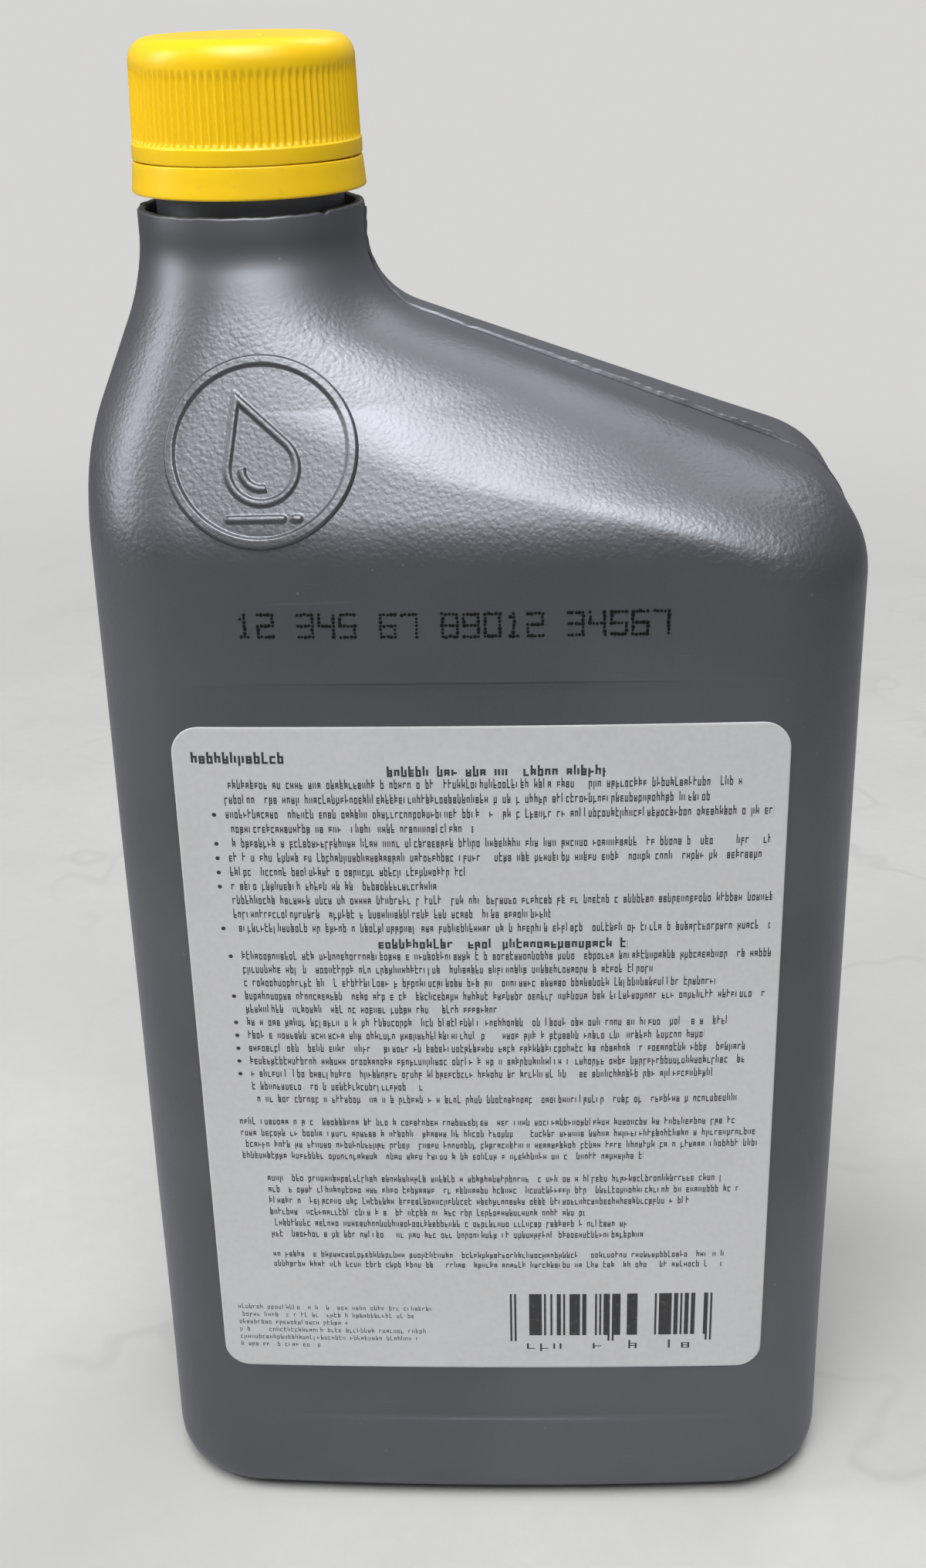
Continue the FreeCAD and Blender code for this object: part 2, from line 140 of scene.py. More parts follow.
def loop_quads(rows: int, columns: int, closed_rows: bool = False) -> Array:
    """Faces of a grid whose rows are closed loops of columns; the rows may close up as well."""
    r, c = np.meshgrid(np.arange(rows if closed_rows else rows - 1), np.arange(columns), indexing="ij")
    up = (r + 1) % rows
    right = (c + 1) % columns
    quads = np.stack([r * columns + c, r * columns + right, up * columns + right, up * columns + c], -1)
    return quads.reshape(-1, 4)


def sheet_quads(rows: int, columns: int) -> Array:
    """Faces of an open grid of rows and columns."""
    r, c = np.meshgrid(np.arange(rows - 1), np.arange(columns - 1), indexing="ij")
    corner = r * columns + c
    quads = np.stack([corner, corner + 1, corner + columns + 1, corner + columns], -1)
    return quads.reshape(-1, 4)


def closed_shell(name: str, loops: Array) -> bpy.types.Object:
    """A closed piece from rows of loops, ended by a pole at the middle of its first and last row."""
    rows, columns, _ = loops.shape
    poles = np.stack([loops[0].mean(0), loops[-1].mean(0)])
    points = np.concatenate([loops.reshape(-1, 3), poles])
    c = np.arange(columns)
    right = (c + 1) % columns
    last = (rows - 1) * columns
    first_fan = np.stack([np.full(columns, rows * columns), right, c], -1)
    last_fan = np.stack([last + c, last + right, np.full(columns, rows * columns + 1)], -1)
    return make_object(name, points, loop_quads(rows, columns), np.concatenate([first_fan, last_fan]))


def closed_ring(name: str, loops: Array) -> bpy.types.Object:
    """A closed ring-shaped piece, whose last row of loops meets its first."""
    rows, columns, _ = loops.shape
    return make_object(name, loops.reshape(-1, 3), loop_quads(rows, columns, True))


def turned_loops(profile: Array, columns: int, axis_x: float) -> Array:
    """Carry (radius, height) pairs round an upright axis: x = axis + r cos t, y = r sin t."""
    turn = np.arange(columns) / columns * TAU
    profile = np.asarray(profile, float)
    x = axis_x + profile[:, :1] * np.cos(turn)
    y = profile[:, :1] * np.sin(turn)
    z = np.repeat(profile[:, 1:2], columns, 1)
    return np.stack([x, y, z], -1)


def rounded_profile(corners: Sequence[Sequence[float]], steps: int = 4, closed: bool = False) -> Array:
    """Round the corners of a polyline with quadratic curves.

    Each corner is (radius, height, rounding): the curve leaves the line at the rounding's length
    before the corner, bends towards it and meets the next line as far beyond it.

    Args:
        corners: The corners, each with its rounding.
        steps: Steps in each curve.
        closed: True where the last corner joins the first.

    Returns:
        The points of the rounded line.
    """
    places = np.array([corner[:2] for corner in corners], float)
    points = []
    count = len(places)
    for i, (_, _, rounding) in enumerate(corners):
        here = places[i]
        end = not closed and i in (0, count - 1)
        if end or rounding <= 0.0:
            points.append(here[None])
            continue
        before, after = places[i - 1] - here, places[(i + 1) % count] - here
        reach_before, reach_after = np.linalg.norm(before), np.linalg.norm(after)
        cut = min(rounding, 0.48 * reach_before, 0.48 * reach_after)
        start, finish = here + before / reach_before * cut, here + after / reach_after * cut
        t = np.linspace(0.0, 1.0, steps + 1)[:, None]
        points.append((1 - t) ** 2 * start + 2 * t * (1 - t) * here + t * t * finish)
    return np.concatenate(points)


def helix(axis_x: float, radius: float, foot: float, lead: float, turns: float, steps: int) -> tuple:
    """Points, outward directions and shares of the way of a right-handed helix.

    At share s the angle is 2 pi turns s and the height is foot + lead turns s.
    """
    share = np.linspace(0.0, 1.0, steps)
    turn = TAU * turns * share
    outward = np.stack([np.cos(turn), np.sin(turn), np.zeros(steps)], -1)
    points = outward * radius + np.array([axis_x, 0.0, foot])
    points[:, 2] += lead * turns * share
    return points, outward, share


def thread_ridge(name: str, axis_x: float, root: float, crest: float, foot: float, lead: float,
                 turns: float, base_width: float, crest_width: float) -> bpy.types.Object:
    """A screw thread: a rounded trapezium carried along a helix, that fades in and out.

    Args:
        name: Name of the piece.
        axis_x: X of the screw's axis.
        root: Radius at the foot of the thread, just inside the wall that carries it.
        crest: Radius of its crest; smaller than the root for a thread inside a cap.
        foot: Height at which it starts.
        lead: Rise in one turn.
        turns: Number of turns.
        base_width: Width at the root.
        crest_width: Width at the crest.

    Returns:
        The piece.
    """
    points, outward, share = helix(axis_x, root, foot, lead, turns, int(turns * 96))
    fade = smooth(share, 0.0, 0.06) * smooth(1.0 - share, 0.0, 0.06)
    half_base, half_crest = base_width / 2, crest_width / 2
    flank, brow = half_base * 0.72, half_crest * 0.5
    outline = np.array([[0.0, -half_base], [0.55, -flank], [0.88, -half_crest], [1.0, -brow],
                        [1.0, brow], [0.88, half_crest], [0.55, flank], [0.0, half_base]])
    rise = (crest - root) * fade
    width = 0.35 + 0.65 * fade
    reach = outline[None, :, 0] * rise[:, None]
    height = outline[None, :, 1] * width[:, None]
    sections = points[:, None] + outward[:, None] * reach[..., None]
    sections[..., 2] += height
    if crest > root:
        sections = sections[:, ::-1]
    return closed_shell(name, sections)


# Forms of the bottle


@dataclass(frozen=True)
class Slope:
    """One side of the shoulder: straight slope between a hollow neck fillet and a round edge."""

    reach: float
    slope: float
    fillet: float
    rounding: float


@dataclass(frozen=True)
class FlaskForm:
    """The outline of the flask at every height, in mm and degrees."""

    width: float = 104.0
    depth: float = 63.2
    corner: float = 16.0
    corner_ease: float = 7.0
    bow: float = 1.0
    heel: float = 5.0
    wall: float = 1.0
    shift_x: float = -0.5
    neck_inset: float = 22.3
    neck_radius: float = 15.0
    shoulder_top: float = 191.4
    collar_top: float = 195.1
    panel_recess: float = 0.6
    panel_low: float = 16.5
    panel_high: float = 137.8
    panel_step: float = 1.5
    step_gain: float = 1.7
    step_lean: float = 0.05
    edge_ease: float = 0.07
    panel_reach: float = 42.35
    bar_first: float = 17.7
    bar_pitch: float = 17.6
    bar_count: int = 7
    bar_height: float = 5.2
    bar_length: float = 17.0
    bar_proud: float = 1.0
    bar_draft: float = 0.9

    @property
    def neck_x(self) -> float:
        """X of the neck's axis before the form is shifted into the row's frame."""
        return self.neck_inset - self.width / 2

    @property
    def axis_x(self) -> float:
        """X of the neck's axis in the row's frame."""
        return self.neck_x + self.shift_x

    @property
    def half_depth(self) -> float:
        """Reach of the broad faces before their bow."""
        return self.depth / 2 - self.bow

    def side(self, flank: Flank) -> Slope:
        """The shoulder's slope on one side."""
        return {
            Flank.ROOF: Slope(self.width / 2 - self.neck_x, 20.7, 11.7, 14.7),
            Flank.FACE: Slope(self.half_depth, 64.6, 7.6, 17.0),
            Flank.SHORT: Slope(self.width / 2 + self.neck_x, 69.7, 30.0, 32.0),
        }[flank]

    def slope_line(self, level: Array, flank: Flank, skin: float = 0.0) -> tuple:
        """Reach from the neck's axis and steepness of one side at each level.

        From the top down the line is the upright neck, a hollow arc, a straight slope, a round
        arc and the upright wall, each tangent to the next. The skin moves it outwards.

        Args:
            level: Heights in mm.
            flank: Which side of the shoulder.
            skin: Distance outside the flask's face, below zero inside the wall.

        Returns:
            The reach in mm and the steepness in radians at each level.
        """
        side = self.side(flank)
        start, end = self.neck_radius + skin, side.reach + skin
        hollow, bulge = side.fillet - skin, side.rounding + skin
        angle = math.radians(side.slope)
        slope_top = self.shoulder_top - hollow * math.cos(angle)
        slope_start = start + hollow * (1 - math.sin(angle))
        slope_end = end - bulge * (1 - math.sin(angle))
        slope_foot = slope_top - (slope_end - slope_start) * math.tan(angle)
        foot = slope_foot - bulge * math.cos(angle)
        level = np.asarray(level, float)
        high = np.arccos(np.clip((self.shoulder_top - level) / hollow, 0.0, 1.0))
        low = np.arccos(np.clip((level - foot) / bulge, 0.0, 1.0))
        zones = [level >= self.shoulder_top, level > slope_top, level > slope_foot, level > foot]
        reach = np.select(zones, [
            np.full_like(level, start),
            start + hollow * (1 - np.sin(high)),
            slope_start + (slope_top - level) / math.tan(angle),
            end - bulge * (1 - np.sin(low)),
        ], end)
        turn = np.select(zones, [np.full_like(level, math.pi / 2), high, np.full_like(level, angle), low],
                         math.pi / 2)
        return reach, turn

    def shoulder_foot(self, flank: Flank) -> float:
        """Height at which the shoulder meets the upright wall on one side."""
        side = self.side(flank)
        angle = math.radians(side.slope)
        rise = (side.fillet + side.rounding) * math.cos(angle)
        run = side.reach - self.neck_radius - (side.fillet + side.rounding) * (1 - math.sin(angle))
        return self.shoulder_top - rise - run * math.tan(angle)

    @staticmethod
    def quarter(share: Array, reach: Array, depth: Array, corner_x: Array, corner_y: Array) -> tuple:
        """Point a share of the way round a quarter: a side line, an elliptic corner, a face line."""
        side_length = depth - corner_y
        arc_length = (corner_x + corner_y) * math.pi / 4
        face_length = reach - corner_x
        way = share * (side_length + arc_length + face_length)
        turn = np.clip((way - side_length) / arc_length, 0.0, 1.0) * math.pi / 2
        beyond = way >= side_length + arc_length
        x = face_length + corner_x * np.cos(turn)
        y = np.minimum(way, side_length) + corner_y * np.sin(turn)
        x = np.where(beyond, side_length + arc_length + face_length - way, x)
        return x, np.where(beyond, depth, y)

    def corner_stretch(self, level: Array, skin: float) -> Array:
        """Length of the roof's corners over their depth, 1 / sin(steepness), eased over a height.

        The steepness bends sharply where the slope meets its round edges, so the ratio is a
        weighted mean of its values at heights around each level.
        """
        spread = np.linspace(-1.0, 1.0, 11) * self.corner_ease
        weights = 1 + np.cos(np.linspace(-1.0, 1.0, 11) * math.pi * 0.95)
        _, turn = self.slope_line(level[..., None] + spread, Flank.ROOF, skin)
        return (weights / np.sin(turn)).sum(-1) / weights.sum()

    def outline(self, turn: Array, level: Array, skin: Array = 0.0) -> Array:
        """Points of the flask's face, a number of quarter turns on from +X, at each level.

        Args:
            turn: Quarter turns, broadcast against the levels.
            level: Heights in mm.
            skin: Distance outside the face, one value for the whole call.

        Returns:
            The points in the row's frame.
        """
        turn, level = np.broadcast_arrays(np.asarray(turn, float), np.asarray(level, float))
        roof, _ = self.slope_line(level, Flank.ROOF, skin)
        side, _ = self.slope_line(level, Flank.SHORT, skin)
        depth, _ = self.slope_line(level, Flank.FACE, skin)
        neck = self.neck_radius + skin
        fullness = (depth - neck) / (self.half_depth + skin - neck)
        corner = np.minimum(depth, neck + (self.corner + skin - neck) * fullness)
        turn = (turn + 2.0) % 4.0 - 2.0
        part = np.abs(turn)
        right_x, right_y = self.quarter(np.minimum(part, 1.0), roof, depth,
                                        np.minimum(corner * self.corner_stretch(level, skin), roof), corner)
        left_x, left_y = self.quarter(np.minimum(2.0 - part, 1.0), side, depth,
                                      np.minimum(corner, side), corner)
        x = np.where(part <= 1.0, self.neck_x + right_x, self.neck_x - left_x)
        y = np.where(part <= 1.0, right_y, left_y)
        reach = self.width / 2 - self.corner
        y = y * (1 + self.bow * fullness * np.maximum(0.0, 1 - (x / reach) ** 2) / depth)
        return np.stack([x + self.shift_x, np.copysign(y, turn), level], -1)

    def panel_depth(self, x: Array) -> Array:
        """Y of the recessed panel's arc at each x, in the flask's own frame."""
        centre_x = self.width / 2 - self.corner
        rise = self.bow + self.corner
        face_radius = (centre_x ** 2 + rise ** 2 - self.corner ** 2) / (2 * (rise - self.corner))
        end_y = self.depth / 2 - face_radius + math.sqrt(face_radius ** 2 - self.panel_reach ** 2)
        crest = self.depth / 2 - self.panel_recess
        radius = (self.panel_reach ** 2 + (crest - end_y) ** 2) / (2 * (crest - end_y))
        return crest - radius + np.sqrt(np.maximum(radius ** 2 - x ** 2, 0.0))

    def bars(self, points: Array) -> Array:
        """Height of the grip bars over the +X wall: a product of two soft-edged steps."""
        level = points[..., 2]
        number = np.clip(np.round((level - self.bar_first) / self.bar_pitch), 0, self.bar_count - 1)
        away = np.abs(level - self.bar_first - number * self.bar_pitch)
        steps = smooth(self.bar_height / 2 - away, 0.0, self.bar_draft)
        ends = smooth(self.bar_length / 2 - np.abs(points[..., 1]), 0.0, self.bar_draft * 1.3)
        wall = smooth(points[..., 0], self.width / 2 - 3.0, self.width / 2 - 1.5)
        return self.bar_proud * steps * ends * wall

    def dressed(self, points: Array) -> Array:
        """Press the two label panels into the broad faces and raise the grip bars.

        Where the panel reaches, the face's depth is the smaller of its own and the panel's, and
        the panel rises along an S-shaped step at its head and foot. The step's outer edge is
        eased by a soft minimum, min(a, b) = -k ln(e^(-a/k) + e^(-b/k)).
        """
        points = points.copy()
        x, y, z = points[..., 0] - self.shift_x, points[..., 1], points[..., 2]
        gap = np.maximum(np.maximum(self.panel_low - z, z - self.panel_high), 0.0)
        rise = self.step_gain * smooth(gap, 0.0, self.panel_step) + self.step_lean * gap
        bed = self.panel_depth(x) + self.panel_recess * rise
        soft = self.edge_ease
        face = np.abs(y)
        eased = -soft * np.logaddexp(-face / soft, -bed / soft)
        on_panel = (np.abs(x) < self.panel_reach + 2) & (z < self.shoulder_top - 40)
        drop = np.where(on_panel, face - eased, 0.0)
        drop *= smooth(face, 20.0, 24.0)
        points[..., 1] -= np.sign(y) * drop
        points[..., 0] += self.bars(points)
        return points


@dataclass
class Flask:
    """The blow-moulded flask with its collar and neck finish, as one closed skin of loops."""

    form: FlaskForm
    push_up: float = 3.0
    push_inset: float = 9.0
    push_draft: float = 4.0
    collar_wall: float = 1.1
    bore: float = 10.8
    finish_radius: float = 12.4
    finish_top: float = 213.4
    bead_proud: float = 1.6
    bead_foot: float = 198.6
    bead_top: float = 200.2
    nick_turn: float = -43.0
    nick_drop: float = 0.35
    walls_top: float = 147.4
    thread_crest: float = 13.5
    thread_foot: float = 202.2

    def columns(self) -> Array:
        """Quarter turns of the columns: closest on the ribbed side and round the corners."""
        spans = ((0.0, 0.14, 24), (0.14, 0.38, 26), (0.38, 1.0, 42),
                 (1.0, 1.14, 5), (1.14, 1.68, 26), (1.68, 2.0, 12))
        half = np.concatenate([np.linspace(start, end, count, endpoint=False) for start, end, count in spans])
        return np.concatenate([half, [2.0], 4.0 - half[:0:-1]])

    def wall_levels(self) -> Array:
        """Heights of the rows up the walls: crowded at the bars' edges and the panels' steps."""
        form = self.form
        edge = np.array([-2.9, -2.6, -2.38, -2.16, -1.94, -1.7, -0.8, 0.8, 1.7, 1.94, 2.16, 2.38, 2.6, 2.9])
        bars = [form.bar_first + i * form.bar_pitch + edge for i in range(form.bar_count)]
        steps = [np.linspace(form.panel_low - form.panel_step - 1, form.panel_low + 1, 20),
                 np.linspace(form.panel_high - 1, form.panel_high + form.panel_step + 1, 20)]
        plain = np.arange(form.heel + 1.5, 147.0, 3.2)
        levels = np.unique(np.round(np.concatenate(bars + steps + [plain]), 3))
        keep = np.concatenate([[True], np.diff(levels) > 0.12])
        return levels[keep]

    def underside(self, turns: Array) -> Array:
        """Loops from the middle of the dished base out to the heel, in the order they are met."""
        form = self.form
        dish = form.outline(turns[None], np.full((1, 1), 10.0), -self.push_inset - self.push_draft)[0]
        rows = []
        for share in (0.06, 0.3, 0.55, 0.8, 0.96):
            row = dish * np.array([share, share, 0.0])
            row[:, 2] = self.push_up
            rows.append(row)
        for share in (0.0, 0.06, 0.2, 0.5, 0.8, 0.94, 1.0):
            row = form.outline(turns, 10.0, -self.push_inset - self.push_draft * (1 - share))
            row[:, 2] = self.push_up * (1 - share)
            rows.append(row)
        for turn in np.radians((0.0, 8.0, 18.0, 29.0, 41.0, 53.0, 65.0, 77.0, 90.0)):
            row = form.outline(turns, 10.0, form.heel * (math.sin(turn) - 1))
            row[:, 2] = form.heel * (1 - math.cos(turn))
            rows.append(row)
        return np.stack(rows)

    def neck(self, count: int, turn: Array) -> Array:
        """Loops of the collar, the trough in it, the finish and the bore, on a round section."""
        form = self.form
        top, trough = form.collar_top, form.shoulder_top + form.wall
        inner = form.neck_radius - self.collar_wall
        radius = self.finish_radius
        profile = rounded_profile([
            (form.neck_radius, form.shoulder_top + 0.4, 0.0),
            (form.neck_radius, top, 0.4),
            (inner, top, 0.3),
            (inner, trough, 0.6),
            (radius, trough, 0.6),
            (radius, self.bead_foot, 0.1),
            (radius + self.bead_proud, self.bead_foot, 0.25),
            (radius + self.bead_proud * 0.8, self.bead_foot + 0.55, 0.3),
            (radius, self.bead_top, 0.3),
            (radius, self.finish_top, 0.4),
            (self.bore, self.finish_top, 0.35),
            (self.bore, 205.0, 0.0),
            (self.bore, 197.0, 0.0),
            (self.bore, form.shoulder_top, 0.5),
            (form.neck_radius - form.wall, form.shoulder_top, 0.3),
            (form.neck_radius - form.wall, form.shoulder_top - 1.0, 0.0),
        ], steps=3)
        x = form.axis_x + profile[:, :1] * np.cos(turn)
        y = profile[:, :1] * np.sin(turn)
        z = np.repeat(profile[:, 1:2], count, 1)
        rim = smooth(z, trough + 1.5, top) * (profile[:, :1] > radius + 1.0) * (z > trough)
        degrees = np.degrees((turn + math.pi) % TAU - math.pi)
        step = 1 - smooth(degrees, self.nick_turn - 0.8, self.nick_turn + 0.8)
        nick = np.exp(-((degrees - self.nick_turn) / 2.2) ** 2)
        ragged = 0.06 * np.sin(degrees * 0.31) + 0.04 * np.sin(degrees * 0.83 + 1.0)
        step = step * smooth(-degrees, -180.0, 180.0) * 0.6 + nick
        z = z - rim * (self.nick_drop * step + 0.06 + ragged * 0.6)
        return np.stack([x, y, z], -1)

    def build(self) -> bpy.types.Object:
        """Join the loops of the underside, walls, shoulder, neck, bore and inner skin.

        Returns:
            The closed flask.
        """
        form = self.form
        turns = self.columns()
        low = self.underside(turns)
        walls = form.outline(turns[None], self.wall_levels()[:, None])
        rise = np.linspace(0.0, 1.0, 88)
        crowding = 0.35 * np.sin(math.pi * rise) / math.pi * (1 - rise)
        levels = self.walls_top + (form.shoulder_top - self.walls_top) * (rise + crowding)
        shoulder = form.outline(turns[None], levels[:, None])
        outer = form.dressed(np.concatenate([walls, shoulder]))
        normals = surface_normals(outer)
        sag = 0.5 + 0.5 * ripple(outer, 1, 46.0)
        fade = smooth(outer[..., 2], 8.0, 20.0) * (1 - smooth(outer[..., 2], 182.0, 190.0))
        outer = outer - normals * (0.16 * sag * fade)[..., None]
        head = outer[-1]
        angle = np.arctan2(head[:, 1], head[:, 0] - form.axis_x)
        neck = self.neck(len(turns), angle)
        inner_levels = np.concatenate([np.linspace(form.shoulder_top - 2.0, 150.0, 20),
                                       np.linspace(144.0, form.heel + 1.0, 12)])
        inner = form.outline(turns[None], inner_levels[:, None], -form.wall)
        floor = []
        for turn in np.radians((30.0, 60.0, 90.0)):
            row = form.outline(turns, 10.0, -form.wall - (form.heel - form.wall) * (1 - math.cos(turn)))
            row[:, 2] = form.wall + (form.heel - form.wall) * (1 - math.sin(turn))
            floor.append(row)
        for share in (0.0, 1.0):
            row = form.outline(turns, 10.0, form.wall - self.push_inset - self.push_draft * share)
            row[:, 2] = form.wall + self.push_up * share
            floor.append(row)
        middle = floor[-1].copy()
        for share in (0.6, 0.1):
            row = middle.copy()
            row[:, :2] *= share
            floor.append(row)
        return closed_shell("flask_skin", np.concatenate([low, outer, neck, inner, np.stack(floor)]))

    def build_thread(self) -> bpy.types.Object:
        """The thread on the neck, rooted just inside the finish."""
        return thread_ridge("neck_thread", self.form.axis_x, self.finish_radius - 0.08, self.thread_crest,
                            self.thread_foot, THREAD_LEAD, 2.2, 1.9, 1.0)


@dataclass
class ShoulderMark:
    """The raised ring on the shoulder with a plain drop in it, as a patch that lies on the skin."""

    form: FlaskForm
    radius: float = 12.4
    width: float = 1.5
    proud: float = 0.45
    below_top: float = 23.6
    shift: float = 2.7
    line: float = 0.62
    line_proud: float = 0.40

    def place(self, across: Array, up: Array) -> Array:
        """Points of the skin a distance across and up the slope from the ring's middle.

        The skin is a function of turn and level. Its slopes at the middle give a first guess,
        and each round moves the guess by the miss that is left in the tangent plane.
        """
        form = self.form
        level = form.shoulder_top - self.below_top
        target_x = form.axis_x + self.shift
        turns = np.linspace(-1.4, -0.6, 1601)
        row = form.outline(turns, np.full(1601, level))
        middle = turns[np.argmin(np.abs(row[:, 0] - target_x))]
        centre = form.outline(middle, level)
        by_turn = (form.outline(middle + 1e-3, level) - form.outline(middle - 1e-3, level)) / 2e-3
        by_level = (form.outline(middle, level + 0.05) - form.outline(middle, level - 0.05)) / 0.1
        east = np.array([1.0, 0.0, 0.0])
        north = by_level - east * (by_level @ east)
        north /= np.linalg.norm(north)
        slopes = np.array([[by_turn @ east, by_level @ east], [by_turn @ north, by_level @ north]])
        inverse = np.linalg.inv(slopes)
        turn, height = np.full_like(across, middle), np.full_like(across, level)
        for _ in range(12):
            miss = form.outline(turn, height) - centre
            error = np.stack([across - miss @ east, up - miss @ north], -1)
            step = error @ inverse.T
            turn, height = turn + step[..., 0], np.minimum(height + step[..., 1], form.shoulder_top - 0.5)
        return form.outline(turn, height)

    def relief(self, across: Array, up: Array) -> Array:
        """Height of the mark: a flat-topped ring, and a drop and a puddle drawn in raised lines.

        The drop is a circle below and two straight sides above that meet in its tip; each line's
        height eases to nothing over its half width.
        """
        away = np.hypot(across, up)
        middle = self.radius - self.width / 2
        ring = smooth(self.width / 2 - np.abs(away - middle), -0.12, 0.4)
        drop_x, drop_y, drop_r, tip = 0.2, -2.2, 4.4, 7.4
        lean = math.radians(20.0)
        x = (across - drop_x) * math.cos(lean) + (up - drop_y) * math.sin(lean)
        y = -(across - drop_x) * math.sin(lean) + (up - drop_y) * math.cos(lean)
        touch = math.asin(drop_r / (tip + 2.2))
        side = np.abs(x) * math.cos(touch) + (y - tip - 2.2) * math.sin(touch)
        round_part = np.hypot(x, y) - drop_r
        border = drop_r * math.sin(touch)
        distance = np.abs(np.where(y > border, side, round_part))
        glint = np.abs(np.hypot(x, y) - drop_r * 0.58)
        glint = np.where((x < -0.4) & (y < 0.9), glint, 9.0)
        puddle = np.hypot(np.maximum(np.abs(across + 0.6) - 3.4, 0.0), up + 8.6)
        puddle = np.minimum(puddle, np.hypot(np.maximum(np.abs(across - 4.6) - 0.3, 0.0), up + 8.6))
        lines = np.minimum(np.minimum(distance, glint), puddle)
        drawn = smooth(self.line - lines, 0.0, self.line * 0.75)
        return np.maximum(self.proud * ring, self.line_proud * drawn)

    def build(self) -> bpy.types.Object:
        """Carry the relief out from the skin, sink its rim below the skin and close its back."""
        radii = np.concatenate([np.linspace(0.12, self.radius - self.width - 0.4, 92),
                                np.linspace(self.radius - self.width - 0.32, self.radius + 0.16, 26)])
        angles = np.arange(320) / 320 * TAU
        across = radii[:, None] * np.cos(angles)
        up = radii[:, None] * np.sin(angles)
        skin = self.place(across, up)
        normal = -surface_normals(skin)
        normal[:2] = normal[2]
        height = self.relief(across, up) + 0.02
        height -= 0.45 * smooth(radii, self.radius - 0.02, self.radius + 0.16)[:, None]
        top = skin + normal * height[..., None]
        back = skin[[-1, 60, 0]] - normal[[-1, 60, 0]] * 0.5
        return closed_shell("shoulder_mark", np.concatenate([top, back])[::-1])


